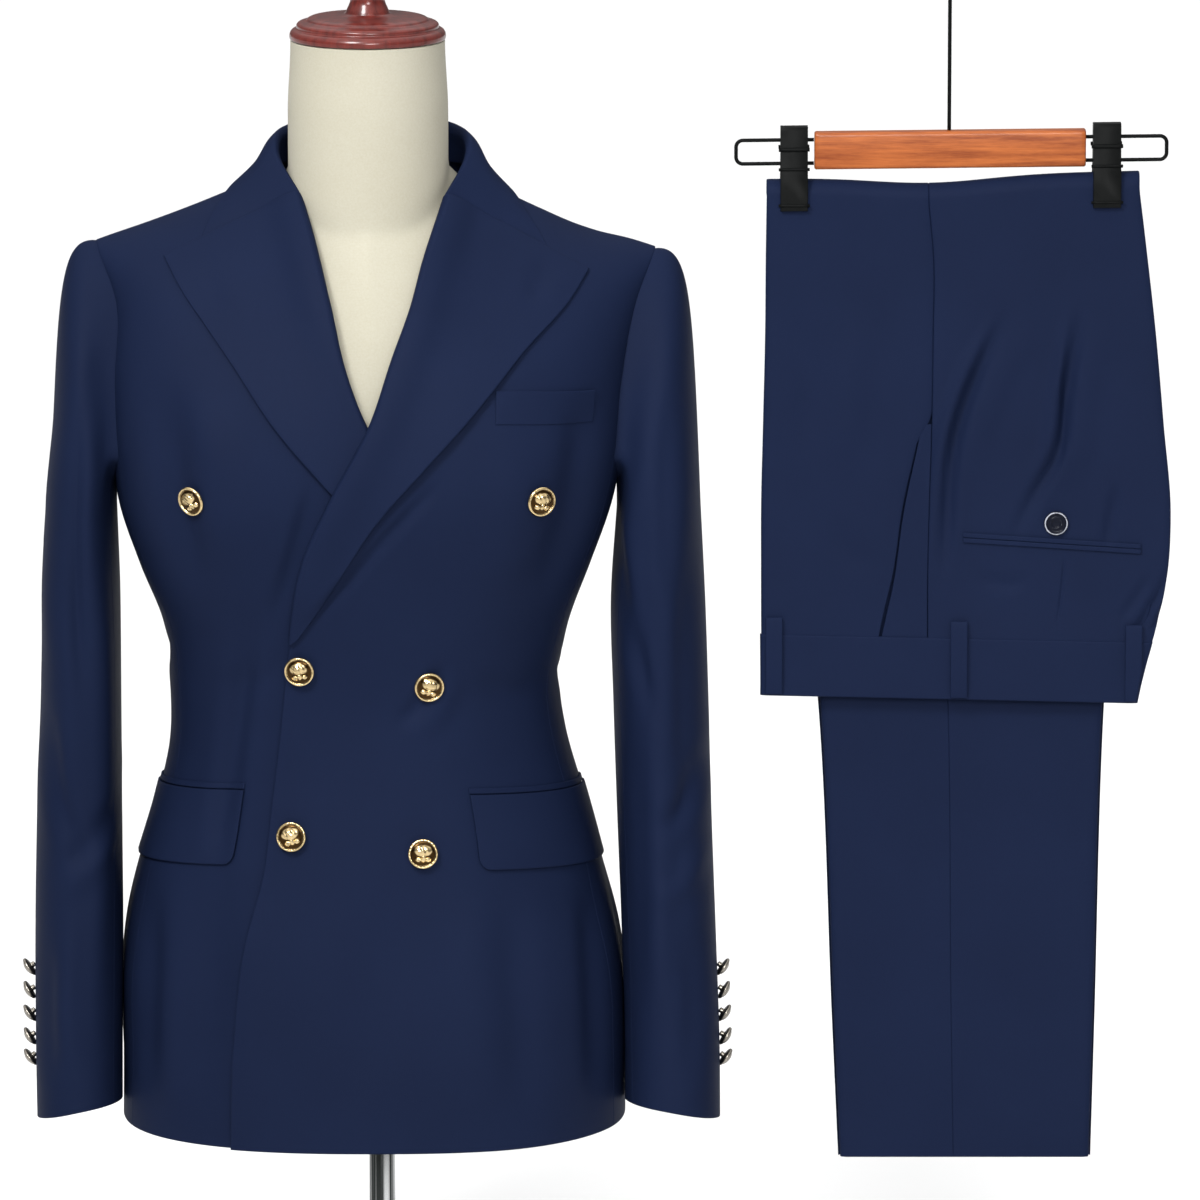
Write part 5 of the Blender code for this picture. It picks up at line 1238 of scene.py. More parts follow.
def button_relief(x, y):
    """A rope rim and a plain leaf over three berries; also how much painted shade darkens each place of the
    recessed field round them.
    """
    r, angle = np.hypot(x, y), np.arctan2(y, x)
    rope = ROPE_HIGH * np.sin(ROPE_TURNS * angle) * np.exp(-(((r - ROPE_R) / ROPE_WIDE) ** 2))
    stands = 0 * r
    for cx, cy, rx, ry, high in SPRIG:
        lobe = np.exp(-((((x - cx) / rx) ** 2 + ((y - cy) / ry) ** 2) ** 2))
        stands = np.maximum(stands, high * lobe)
    veins = VEIN_HIGH * np.sin(VEIN_ACROSS * x + VEIN_ALONG * np.abs(y)) * (stands > VEIN_FROM)
    painted_shading = np.clip(PAINTED_SHADE_MOST - PAINTED_SHADE_FALL * stands, 0, 1) * ease((PAINTED_SHADE_R - r) / PAINTED_SHADE_WIDE)
    return rope + stands + veins, painted_shading


def close_rows(profile, longest):
    """A profile with points no further apart than the longest step."""
    made = [profile[0]]
    for a, b in zip(profile[:-1], profile[1:]):
        count = max(1, int(np.ceil(np.hypot(*(b - a)) / longest)))
        made += [a + (b - a) * k / count for k in range(1, count + 1)]
    return made


def make_buttons():
    plain, faces = lathe(close_rows(rounded_profile(BUTTON_PROFILE), BUTTON_ROW), segments=96)
    face = ease((plain[:, 2] - FACE_FROM) / FACE_OVER)
    for name, side, x, z, lift, turn in BUTTONS:
        c, s = math.cos(turn), math.sin(turn)
        stands, painted_shading = button_relief(c * plain[:, 0] + s * plain[:, 1], c * plain[:, 1] - s * plain[:, 0])
        points = plain + np.stack([0 * stands, 0 * stands, stands * face], 1)
        lift = front_lift(side, np.array(x), np.array(z)) + lift + relief(turn_at(x, z), z)
        normal = body_normal(turn_at(x, z), z) + np.array(BUTTON_HANG.get(name, (0, 0, 0)))
        made = mesh_object(name + "_domed", turned_on(points, on_front(x, z, lift), normal), faces, GOLD)
        # painted shade darkens the gilt in the recessed field of the face
        set_painted_shading(made, painted_shading * face)
        dress(made, name)


def make_cuff_buttons():
    points, faces = lathe(rounded_profile(CUFF_PROFILE), segments=48)
    for side, word in SIDES:
        for number, (z, degrees) in enumerate(zip(CUFF_BUTTON_Z, CUFF_DROOP), 1):
            place = sleeve(side, math.pi, TUBE_SHARE * (z - CUFF_Z) / (SLEEVE_TOP_Z - CUFF_Z))
            normal = (side, 0.0, -math.tan(math.radians(degrees)))
            turned = turned_on(points, place + (side * PROUD, 0, 0), normal)
            name = f"cuff_button_{word}_{number}"
            dress(mesh_object(name + "_domed", turned, faces, CUFF_GOLD), name)


# ------------------------------------------------------------------------------------------------
# Trousers
# ------------------------------------------------------------------------------------------------
FOLD_Z = 938.0
FOLD_TILT, FOLD_SAG, SAG_X, SAG_WIDE = 0.022, 5.5, 405.0, 60.0  # the fold sags between the clips
SAG_FROM, SAG_FULL = 740.0, 920.0
FRONT_Y, REAR_Y = -12.0, 10.0  # outer faces of the folded trousers
FOLD_MID_Y, FOLD_R = -1.0, 11.0  # of the fold over the hanger's bar
TROUSER_HEM_Z = 195.5
WAIST_X, WAIST_Z, WAIST_SKEW = 282, 550.4, -0.022  # the waist's edge hangs a little lower to the back
BAND_HIGH = 45.0
UPPER_COLUMNS = ("z", "front", "back", "seam", "pocket")
UPPER = (
    (540, 282.3, 557.9, 405.8, 362.3),
    (569, 282.4, 564.7, 405.6, 366.1),
    (600, 282.1, 573.3, 405.4, 370.7),
    (644, 281.9, 582.2, 405.2, 380.2),
    (689, 281.8, 584.2, 405.9, 386.4),
    (755, 283.1, 578.3, 407.5, 400.0),
    (823, 284.4, 571.6, 408.0, 408.0),
    (881, 284.7, 564.4, 408.1, 408.1),
    (925, 285.2, 558.7, 404.2, 404.2),
)
LOWER_COLUMNS = ("z", "front", "back", "seam")
LOWER = (
    (195, 341.3, 530.0, 427.3),
    (297, 336.3, 532.1, 425.1),
    (543, 324.7, 537.1, 421.0),
    (739, 302.9, 549.4, 411.7),
    (925, 285.2, 558.7, 404.2),
)
RISE, ARC, DROP = 0.42, 0.12, 0.46  # shares of the right leg's sheet before, round and behind the fold
LEVEL_X = 420.0  # the waist's height is counted from its height here
POCKET_TOP_Z, POCKET_TOP_FALL = 764.0, 10.0
EDGE_CURL, EDGE_BACK = 5.0, 3.0  # inside this reach of the pressed creases the cloth turns back, by this much
FLAT_REACH = 0.05  # share of the sheet beside the fold where the creases' turn fades
HANGER_X, HANGER_Y = 419.0, -1.0
HANGER_TILT = 0.011
LEG_IN = 1.5  # the left leg is hidden this far inside the right leg's edges
LEG_TOP_Z = FOLD_Z - FOLD_R - 8.0


def upper(name, z):
    return sized(UPPER, UPPER_COLUMNS, name, z)


def lower(name, z):
    return sized(LOWER, LOWER_COLUMNS, name, z)


def sagged(points):
    """The trousers' points, moved down and up with the fold's sag and tilt."""
    points = np.array(points, float)
    x, z = points[..., 0], points[..., 2]
    shift = FOLD_TILT * (x - HANGER_X) - FOLD_SAG * np.exp(-(((x - SAG_X) / SAG_WIDE) ** 2))
    points[..., 2] = z + shift * between(z, SAG_FROM, SAG_FULL)
    return points


def curl(x, near, far):
    """How far a sheet has turned back at x, between its two outer edges."""
    out = np.clip(1 - np.minimum(x - near, far - x) / EDGE_CURL, 0, 1)
    return EDGE_BACK * (1 - np.sqrt(1 - out**2))


def waist_edge(x):
    return WAIST_Z + WAIST_SKEW * (x - WAIST_X)


def over_path(v, bottom, depth):
    """The right leg's sheet: up the front from bottom, over the fold, down the rear; depth goes inwards."""
    radius = FOLD_R - depth
    centre = FOLD_Z - FOLD_R
    up = np.clip(v / RISE, 0, 1)
    turn = math.pi * np.clip((v - RISE) / ARC, 0, 1)
    down = np.clip((v - RISE - ARC) / DROP, 0, 1)
    z = bottom + (centre - bottom) * up + radius * np.sin(turn) - (centre - TROUSER_HEM_Z) * down
    y = FOLD_MID_Y - radius * np.cos(turn)
    return y, z, down > 0


TROUSER_FOLDS = (
    (((466, 846), (438, 788), (424, 741), (420, 700), (418, 628)), -6.4, 4.4),
    (((456, 842), (429, 788), (415, 741), (411, 696)), 3.0, 4.6),
    (((484, 838), (456, 786), (441, 741), (436, 700)), 1.4, 9),
    (((519, 850), (507, 781), (501, 734), (482, 698), (462, 656)), -5.4, 4.0),
    (((509, 846), (498, 781), (492, 736), (474, 704)), 2.4, 4.4),
    (((534, 844), (521, 780), (515, 730), (497, 692)), 1.4, 8),
    (((545, 712), (536, 656)), -3.0, 3.4),
    (((584, 644), (554, 586)), -4.6, 2.5),
    (((590, 632), (564, 590)), -3.4, 2.1),
    (((572, 644), (546, 604)), -2.4, 2.6),
    (((300, 860), (316, 790), (312, 720)), -1.4, 10),
    (((352, 850), (348, 770), (340, 700)), 1.3, 11),
    (((440, 641), (462, 634), (482, 637)), -2.0, 3.6),
    (((330, 690), (345, 660), (372, 640)), -0.9, 8),
)
REAR_FOLDS = (
    (((352, 860), (366, 760), (360, 640)), -4.0, 9),
    (((470, 856), (454, 770), (462, 690)), -4.4, 9),
    (((400, 560), (412, 450), (404, 330)), 2.8, 12),
    (((500, 620), (488, 520), (494, 400)), -2.8, 11),
)
DART_AT, DART_Z, DART_DEEP, DART_WIDE = 0.435, (616.0, 654.0), 0.8, 1.1  # a share from the crease to the seam
DART_STARTS, DART_STOPS = 12.0, 10.0  # how far the dart takes to fade, below and above
DART_REACH, DART_POINTS, DART_SHEET = 2.4, 13, 170.0  # extra columns across it, on a sheet this wide
DART_COLUMNS = DART_AT + np.linspace(-DART_REACH, DART_REACH, DART_POINTS) / DART_SHEET
SEAM_SINK, SINK_WIDE, SINK_Z = 1.0, 2.2, (640.0, 720.0)  # the side seam sinks in above these heights
SHEET_WIDE = 130.0  # about the width of each half of the right leg
POCKET_CLOSE = 26.0  # the pocket's mouth narrows over this height to its top


def dart(x, z):
    """The narrow seam below the back pocket."""
    line = upper("back", z) + (upper("seam", z) - upper("back", z)) * DART_AT
    low, high = DART_Z
    ends = ease((z - low + DART_STARTS) / DART_STARTS) * ease((high - z) / DART_STOPS)
    return -DART_DEEP * ends * np.exp(-(((x - line) / DART_WIDE) ** 2))


def trouser_relief(x, z, behind):
    """How far the trousers' cloth stands out, before the sag."""
    return np.where(behind, creases(x, z, REAR_FOLDS), creases(x, z, TROUSER_FOLDS) + dart(x, z))


def trouser_sheet(part, u, v, depth):
    """part is front or back; u runs from the outer crease to the side seam."""
    bottom = waist_edge(LEVEL_X) + BAND_HIGH + SEAM
    y, z, behind = over_path(v, bottom, depth)
    crease, seam, near, far = (
        np.where(behind, lower(name, z), upper(name, z)) for name in (part, "seam", "front", "back")
    )
    if part == "front":
        opening = 1 - ease((z - POCKET_TOP_Z + POCKET_CLOSE) / POCKET_CLOSE)
        seam = np.where(~behind & (v < RISE), seam + (upper("pocket", z) - SEAM - seam) * opening, seam)
    x = crease + (seam - crease) * u
    z = z + (waist_edge(x) - waist_edge(LEVEL_X)) * (1 - np.clip(v / RISE, 0, 1))
    middle = RISE + ARC / 2
    inwards = np.where(v < middle, 1, -1) * (1 - np.exp(-(((v - middle) / FLAT_REACH) ** 2)))
    lift = (trouser_relief(x, z, behind) - curl(x, near, far)) * inwards
    lift = lift - SEAM_SINK * np.exp(-(1 - u) * SHEET_WIDE / SINK_WIDE) * between(z, *SINK_Z) * inwards
    return sagged(np.stack([x, y - lift, z], -1))


def make_right_leg(part):
    rise = samples(*UP_ROWS, (True, False)) * RISE
    fold = RISE + np.linspace(0, 1, OVER_ROWS)[1:] * ARC
    v = np.concatenate([rise, fold, RISE + ARC + samples(*DOWN_ROWS, (False, True))[1:] * DROP])
    across = samples(LEG_COLUMNS, SHEET_WIDE)
    if part == "back":
        across = np.sort(np.concatenate([across, DART_COLUMNS]))
    u, v = np.meshgrid(across, v, indexing="ij")
    outer, inner = trouser_sheet(part, u, v, 0.0), trouser_sheet(part, u, v, CLOTH)
    soft = (FREE, 0.8, SEWN, FREE)
    cloth(f"right_leg_{part}", outer, inner, f"trouser_right_{part}", soft)


AWAY = 999.0  # an edge this far off curls nothing
NEITHER = (False, False)  # of a sheet's front and rear edge


def flat_cloth(name, node, edges, heights, y, thick, counts, curled=NEITHER, creased=False, soft=(FREE,) * 4):
    """A flat sheet that hangs between edges, a function of z, and heights, a function of x."""
    bottom, top = heights(0.0)
    near, far = edges(np.array(bottom + (top - bottom) * 0.5))
    u, v = grid((counts[0], float(np.max(far - near))), (counts[1], float(np.max(top - bottom))))
    near, far = edges(bottom + (top - bottom) * v)
    x = near + (far - near) * u
    bottom, top = heights(x)
    z = bottom + (top - bottom) * v
    y = y + curl(x, near if curled[0] else near - AWAY, far if curled[1] else far + AWAY)
    if creased:
        y = y - creases(x, z, TROUSER_FOLDS)
    outer, inner = (sagged(np.stack([x, y + depth, z], -1)) for depth in (0, thick))
    cloth(name, outer, inner, node, soft)


BAND_PROUD, BAND_OVER = 1.2, 0.8  # the waistband is thicker and wider than the cloth below it
BAND_SHOWN, BAND_LAP = 0.8, 1.2  # its face stands this far out and laps this far over the legs
BAND_IN = 2.9, 0.8  # how far its rear end is drawn in, at its top and at its bottom
LOOPS = (("belt_loop_front", 291.6), ("belt_loop_side", 428.4), ("belt_loop_back", 557.6))
LOOP_WIDE, LOOP_HIGH, LOOP_THICK = 12.5, 58.0, 1.5
LOOP_FOOT, LOOP_ARCH, LOOP_SOFT = 1.5, 1.6, 0.7  # above the waist's edge, off the band, radius of its edges
LOOP_OVER = 0.3  # the most that a loop stands out past the waistband's end
FACING_BACK, FACING_SOFT = 0.6, 0.5  # the pocket's facing lies this far behind the leg's face
POCKET_X, POCKET_Z, POCKET_JET_HIGH = (430.8, 562.3), (669.5, 660.8), 3.6  # the pocket's line and its jets
POCKET_GAP, POCKET_JET_THICK = 0.15, 1.2  # each jet is this far from the pocket's line
POCKET_BUTTON = (499.4, FRONT_Y - SEAM, 680.2)
POCKET_BUTTON_PROFILE = (
    (AXIS_R, 0), (8.2, 0), (9.0, 0.7), (9.0, 2.1), (8.3, 2.9), (7.2, 2.7), (6.4, 1.9), (5.2, 1.7),
    (4.6, 2.1), (3.6, 2.1), (2.8, 1.5), (AXIS_R, 1.4),
)
PAINTED_HIGHLIGHT_RINGS = ((1.6, 8.1, 0.75), (0.9, 4.1, 0.6))  # painted highlights on two rings: how bright, radius, width
LAYERS, LAYER_STEPS = 4, 8  # hidden layers of a folded stretch, and points across each
GROOVE_DEEP, GROOVE_ROUND = 2.0, 0.5  # the layers' edges, and how round they are
FACE_COLUMNS, FACE_ROUND, CORE_ROWS = 16, 0.4, 60  # the two faces of these layers
UPPER_UP, LOWER_UP = 2, 1  # above the cloth's lower edge
UPPER_DIPS, LOWER_DIPS = (7.6, 0.0), (0.0, 4.6)  # how far their front and rear faces lie back
UPPER_INSET, LOWER_INSET = 9.0, 10.0  # inside the cloth's outer edges


def facing_edges(z):
    return upper("pocket", z) + SEAM / 2, upper("seam", z) - SEAM


def facing_heights(x):
    return waist_edge(x) + BAND_HIGH + SEAM, POCKET_TOP_Z - POCKET_TOP_FALL * np.ones_like(x)


def band_edges(z):
    return upper("front", z) - BAND_OVER, upper("back", z) + BAND_OVER


def band_shown(z):
    near, far = band_edges(z)
    up = np.clip((z - waist_edge(far)) / BAND_HIGH, 0, 1)
    return near, far - (BAND_IN[1] + (BAND_IN[0] - BAND_IN[1]) * up)


def band_heights(x):
    return waist_edge(x), waist_edge(x) + BAND_HIGH + BAND_LAP


def leg_heights(x):
    return TROUSER_HEM_Z + 0 * x, LEG_TOP_Z + 0 * x


def leg_front_edges(z):
    return lower("front", z) + LEG_IN, lower("seam", z)


def leg_back_edges(z):
    return lower("seam", z), lower("back", z) - LEG_IN


def make_loop(name, x):
    u, v = grid((LOOP_POINTS[0], LOOP_WIDE), (LOOP_POINTS[1], LOOP_HIGH))
    arch = LOOP_ARCH * np.sqrt(np.maximum(np.sin(math.pi * v), 0))
    z = waist_edge(x) + LOOP_FOOT + LOOP_HIGH * v
    left, right = x - LOOP_WIDE / 2, np.minimum(x + LOOP_WIDE / 2, band_shown(z)[1] + LOOP_OVER)
    x_on = left + (right - left) * u
    y = FRONT_Y - BAND_PROUD - LAY - arch + curl(x_on, *band_edges(waist_edge(x) + LOOP_HIGH / 2))
    inner = np.stack([x_on, y, z], -1)
    outer, soft = inner - (0, LOOP_THICK, 0), (LOOP_SOFT,) * 4
    cloth(name + "_cloth", outer, inner, name, soft)


def make_back_pocket():
    u, v = grid(*POCKET_JET_GRID)
    x = POCKET_X[0] + (POCKET_X[1] - POCKET_X[0]) * u
    for name, shift in (("lower", -POCKET_JET_HIGH - POCKET_GAP), ("upper", POCKET_GAP)):
        z = POCKET_Z[0] + (POCKET_Z[1] - POCKET_Z[0]) * u + shift + POCKET_JET_HIGH * v
        inner = np.stack([x, FRONT_Y - PROUD - creases(x, z, TROUSER_FOLDS), z], -1)
        made = shell(f"back_pocket_jet_{name}_cloth", inner - (0, POCKET_JET_THICK, 0), inner, (SEWN,) * 4)
        dress(made, f"back_pocket_jet_{name}")


def make_pocket_button():
    points, faces = lathe(rounded_profile(POCKET_BUTTON_PROFILE, steps=5), segments=64)
    r = np.hypot(points[:, 0], points[:, 1])
    # the button keeps its dark colour except on two rings, whose light colour is painted highlight
    painted_shading = PAINTED_HIGHLIGHT_RINGS[0][0]
    for bright, at, wide in PAINTED_HIGHLIGHT_RINGS:
        painted_shading = painted_shading - bright * np.exp(-(((r - at) / wide) ** 2))
    made = mesh_object("back_pocket_button_dished", turned_on(points, POCKET_BUTTON, (0, -1, 0)), faces, HORN)
    set_painted_shading(made, painted_shading)
    dress(made, "back_pocket_button")


CLOSED = 0.02  # size of a solid's last ring, as a share of the ring before it


def tube_mesh(name, rings, finish):
    """A closed solid through rings of points; each end closes to its middle."""
    rings = np.asarray(rings, float)
    first, last = (ring.mean(1, keepdims=True) for ring in (rings[:1], rings[-1:]))
    rings = np.concatenate([first + (rings[:1] - first) * CLOSED, rings, last + (rings[-1:] - last) * CLOSED])
    around = arcs(np.concatenate([rings, rings[:, :1]], 1), 1)[:, :-1]
    uv = np.stack([around, arcs(rings, 0)], -1).reshape(-1, 2)
    return mesh_object(name, rings.reshape(-1, 3), ring_faces(*rings.shape[:2]), finish, uv)


def make_core(word, table, low, depths, dips, inset):
    """The hidden layers of a folded stretch: one solid with a groove between each two layers at its edges.
    Its front and rear faces are at the two depths and lie back by the dips, behind the cloth's creases."""
    front_y, rear_y = depths
    deep = np.linspace(0, 1, LAYERS * LAYER_STEPS + 1)
    groove = GROOVE_DEEP * (1 - np.abs(np.sin(math.pi * deep * LAYERS)) ** GROOVE_ROUND)
    y = front_y + (rear_y - front_y) * deep
    across = np.linspace(0, 1, FACE_COLUMNS)[1:-1]
    dip = np.sin(math.pi * across) ** FACE_ROUND
    rings = []
    for z in np.linspace(low, LEG_TOP_Z, CORE_ROWS):
        near, far = float(table("front", z)) + inset, float(table("back", z)) - inset
        left = np.stack([near - GROOVE_DEEP + groove, y], 1)
        right = np.stack([far + GROOVE_DEEP - groove, y], 1)[::-1]
        front = np.stack([far + (near - far) * across, front_y + dips[0] * dip], 1)
        rear = np.stack([near + (far - near) * across, rear_y - dips[1] * dip], 1)
        ring = np.concatenate([left, rear, right, front])
        rings.append(np.column_stack([ring, np.full(len(ring), z)]))
    made = tube_mesh(f"inner_layers_{word}_cloth", sagged(rings), WOOL)
    dress(made, f"trouser_inner_layers_{word}")


def make_trousers():
    make_right_leg("front")
    make_right_leg("back")
    flat_cloth("pocket_facing_cloth", "trouser_pocket_facing", facing_edges, facing_heights,
               FRONT_Y + FACING_BACK, CLOTH - FACING_BACK, FACING_POINTS, creased=True,
               soft=(FACING_SOFT,) * 4)
    flat_cloth("waistband_cloth", "trouser_waistband", band_shown, band_heights,
               FRONT_Y - BAND_SHOWN, CLOTH + BAND_SHOWN, BAND_POINTS, (True, True))
    for name, x in LOOPS:
        make_loop(name, x)
    make_back_pocket()
    make_pocket_button()
    flat_cloth("left_leg_front", "trouser_left_front", leg_front_edges, leg_heights,
               FOLD_MID_Y + LAY, CLOTH, LEG_POINTS, (True, False), soft=(FREE, SEWN, FREE, FREE))
    flat_cloth("left_leg_back", "trouser_left_back", leg_back_edges, leg_heights,
               FOLD_MID_Y + LAY, CLOTH, LEG_POINTS, (False, True), soft=(SEWN, FREE, FREE, FREE))
    front_deep = (FRONT_Y + CLOTH + LAY, FOLD_MID_Y - LAY)
    make_core("upper", upper, WAIST_Z + UPPER_UP, front_deep, UPPER_DIPS, UPPER_INSET)
    rear_deep = (FOLD_MID_Y + LAY + CLOTH + LAY, REAR_Y - CLOTH - LAY)
    make_core("lower", lower, TROUSER_HEM_Z + LOWER_UP, rear_deep, LOWER_DIPS, LOWER_INSET)


# ------------------------------------------------------------------------------------------------
# Hanger
# ------------------------------------------------------------------------------------------------
BAR_X, BAR_Z, BAR_THICK, BAR_ROUND = (320.2, 519.2), (943.6, 971.1), 13.0, 3.0
BAR_RIM = ((0.0, 1.2), (0.35, 0.55), (1.2, 0.0))  # rounded ends: distance from the end, how much smaller
BAR_PLAIN, BAR_RINGS = 4.0, 30  # from here to the same distance before the other end there are even rings
WIRE_R, WIRE_SIDES = 1.4, 20
WIRE_POINTS, STEM_POINTS, PIN_POINTS = 12, 20, 6  # along a wire's straight lengths, the stem and a pin
WIRE_Z, WIRE_BEND = (947.8, 965.2), 5.0  # heights of each bent wire's two lengths, radius of its bends
WIRE_ENDS = {RIGHT: 262.8, LEFT: 578.6}
STEM_TOP_Z, STEM_STOP, HOOK_R = 1090.0, 2, 22.0  # the straight stem stops a little below its top
CLIPS = (("hanger_clip_right", 295.3, 315.4), ("hanger_clip_left", 524.5, 545.0))
CLIP_SECTION = (  # front half: y outward from the middle plane, z
    (5.2, 975.2), (6.8, 972.2), (7.6, 946.0), (14.6, 936.5), (14.6, 914.5), (11.45, 914.5), (11.45, 935.0),
    (4.6, 943.5), (2.0, 951.0), (2.0, 972.2),
)
CLIP_SOFT, CLIP_DEEP, CLIP_SHARP = 0.5, 14, math.radians(40)  # rounded ends; half depth; sharpest smooth edge
CLIP_PINS = (  # side (1 is the front), z, distance from the middle plane, radius
    (1, 959.0, 7.4, 1.5),
    (1, 944.5, 9.2, 1.2),
    (1, 918.5, 14.4, 1.1),
    (-1, 959.0, 7.4, 1.5),
    (-1, 918.5, 14.4, 1.1),
)
PIN_OUT = 1.3  # how far a pin stands out at each side of its clip


def tilted(points):
    """Points of the hanger, which hangs a little lower on the wearer's right."""
    points = np.array(points, float)
    points[..., 2] += HANGER_TILT * (points[..., 0] - HANGER_X)
    return points


def arc(across, up, radius, degrees):
    """Points round a middle, at angles in degrees."""
    turns = [math.radians(turn) for turn in degrees]
    return [(across + radius * math.cos(turn), up + radius * math.sin(turn)) for turn in turns]


def wire(name, path, radius, node):
    """A round black wire along a path that stays at one y."""
    path = np.asarray(path, float)
    over = np.array([0.0, 1.0, 0.0])
    across = np.cross(unit(np.gradient(path, axis=0)), over)
    a = np.linspace(0, 2 * math.pi, WIRE_SIDES, endpoint=False)
    rings = path[:, None] + radius * (np.cos(a)[:, None] * across[:, None] + np.sin(a)[:, None] * over)
    dress(tube_mesh(name, rings, BLACK), node)


def make_bar():
    (x0, x1), (z0, z1) = BAR_X, BAR_Z
    half, soft = BAR_THICK / 2, BAR_ROUND
    section = []
    for sy, sz, start in ((-1, -1, 180), (1, -1, 270), (1, 1, 0), (-1, 1, 90)):
        corner = HANGER_Y + sy * (half - soft), (z1 if sz > 0 else z0) - sz * soft
        section += arc(*corner, soft, range(start, start + 91, 15))
    section, middle = np.array(section), np.array([HANGER_Y, (z0 + z1) / 2])
    rows = [(x0 + out, less) for out, less in BAR_RIM]
    rows += [(x, 0.0) for x in np.linspace(x0 + BAR_PLAIN, x1 - BAR_PLAIN, BAR_RINGS)]
    rows += [(x1 - out, less) for out, less in BAR_RIM[::-1]]
    rings = []
    for x, less in rows:
        ring = middle + (section - middle) * (1 - less / np.array([half, (z1 - z0) / 2]))
        rings.append(np.column_stack([np.full(len(ring), x), ring]))
    dress(tube_mesh("bar_varnished", tilted(rings), ORANGE), "hanger_bar")


def make_bar_wire(side, word):
    """It leaves the bar's end, turns back at the hanger's end and comes back lower."""
    low, high = WIRE_Z
    start = BAR_X[0] - SEAM if side == RIGHT else BAR_X[1] + SEAM
    corner = WIRE_ENDS[side] - side * WIRE_BEND
    path = [(x, high) for x in np.linspace(start, corner, WIRE_POINTS)[:-1]]
    bends = arc(0, high - WIRE_BEND, WIRE_BEND, range(90, -1, -10))
    bends += arc(0, low + WIRE_BEND, WIRE_BEND, range(0, -91, -10))
    path += [(corner + side * out, z) for out, z in bends]
    path += [(x, low) for x in np.linspace(corner, start, WIRE_POINTS)[1:]]
    name = f"hanger_wire_{word}"
    wire(name + "_round", tilted([(x, HANGER_Y, z) for x, z in path]), WIRE_R, name)


def make_hook():
    path = [(HANGER_X, z) for z in np.linspace(BAR_Z[1] + SEAM, STEM_TOP_Z - STEM_STOP, STEM_POINTS)]
    path += arc(HANGER_X, STEM_TOP_Z + HOOK_R, HOOK_R, range(-90, 151, 5))
    wire("hook_round", [(x, HANGER_Y, z) for x, z in path], WIRE_R, "hanger_hook")


def make_clip(name, near, far):
    """Two bent plates as one solid, and the pins that lie across them."""
    outline = [(-y, z) for y, z in CLIP_SECTION] + [(y, z) for y, z in CLIP_SECTION[::-1]]
    rings = []
    for x, less in ((near, CLIP_SOFT), (near + CLIP_SOFT, 0.0), (far - CLIP_SOFT, 0.0), (far, CLIP_SOFT)):
        rings.append([(x, HANGER_Y + y * (1 - less / CLIP_DEEP), z) for y, z in outline])
    count, size = len(rings), len(outline)
    faces = [tuple(range(size))[::-1], tuple(range((count - 1) * size, count * size))]
    faces += ring_faces(count, size).tolist()
    mesh = bpy.data.meshes.new(name + "_plates")
    mesh.from_pydata((tilted(rings).reshape(-1, 3) * METRE).tolist(), [], faces)
    mesh.shade_smooth()
    mesh.set_sharp_from_angle(angle=CLIP_SHARP)
    mesh.materials.append(BLACK)
    dress(linked(mesh.name, mesh), name)
    for number, (side, z, reach, radius) in enumerate(CLIP_PINS):
        along = np.linspace(near - PIN_OUT, far + PIN_OUT, PIN_POINTS)
        path = [(x, HANGER_Y - side * reach, z) for x in along]
        wire(f"{name}_pin_{number}", tilted(path), radius, name)


# ------------------------------------------------------------------------------------------------
# Dress form and stand
# ------------------------------------------------------------------------------------------------
FORM_BOTTOM_Z, NECK_TOP_Z = 286.0, 1038.0
NECK_AXIS = (-7.0, -2.0)
NECK_R, NECK_TAPER, TAPER_FROM = 58.8, 2.2, 985.0
FORM_SEAT, FORM_DROP, FORM_EASE = 0.7, 3.5, 5.0  # clearance on the shoulder line, below it, lower down
NECK_BLEND, NECK_EASE = 24.0, 4.5  # how sharply the neck meets the shoulders; less depth under the collar
NECK_CLEAR, END_CLEAR = 1.5, 3.0  # more clearance beside the neck and at the ends of the shoulders
NECK_CLEAR_FROM, NECK_CLEAR_FULL, END_CLEAR_FROM, END_CLEAR_FULL = 95.0, 80.0, 175.0, 190.0  # from the middle
NECK_FROM_Z = CHEST_Z + 100  # below it the form is all torso
COLLAR_EASE_Z = (890.0, 920.0)  # between these heights that lesser depth sets in
LEAST_COLUMNS = 8  # with fewer columns left at a height, the form is all neck
FORM_FOOT, FORM_FOOT_HIGH = 3.0, 6.0  # how the form's lower edge is rounded, inwards and upwards
FORM_ANGLES, FORM_TURNS, FORM_SHARES = 160, 360, 160  # points round the form, and its columns and their rows
FORM_ROWS = ((310, 850, 10), (850, 932, 2.5), (932, 1034, 6))  # heights of its rings: from, to, step
FOOT_ROWS, NECK_ROWS = (FORM_BOTTOM_Z, 287, 289, 293, 300), (1035, 1037, NECK_TOP_Z)
COLUMN_FOOT = 10.0  # the columns start this far below the form
DROP_OVER, EASE_OVER = 6.0, 120.0  # heights below the shoulder line over which the form draws in
CAP_PROFILE = (
    (AXIS_R, 1038.3), (56.4, 1038.3), (57.4, 1040), (57.4, 1043), (55.6, 1046), (52.0, 1047), (52.4, 1049.5),
    (50.5, 1051.5), (45.0, 1052.3), (44.0, 1054.2), (40.0, 1055.6), (16.6, 1056.6), (15.6, 1060),
    (12.8, 1066), (12.6, 1071), (14.5, 1079), (22.5, 1091), (24.0, 1101), (19.5, 1111), (9.0, 1117),
    (AXIS_R, 1118),
)
POLE_R, POLE_Z, POLE_EDGE = 9.7, (12.3, 285.7), (0.4, 0.5)
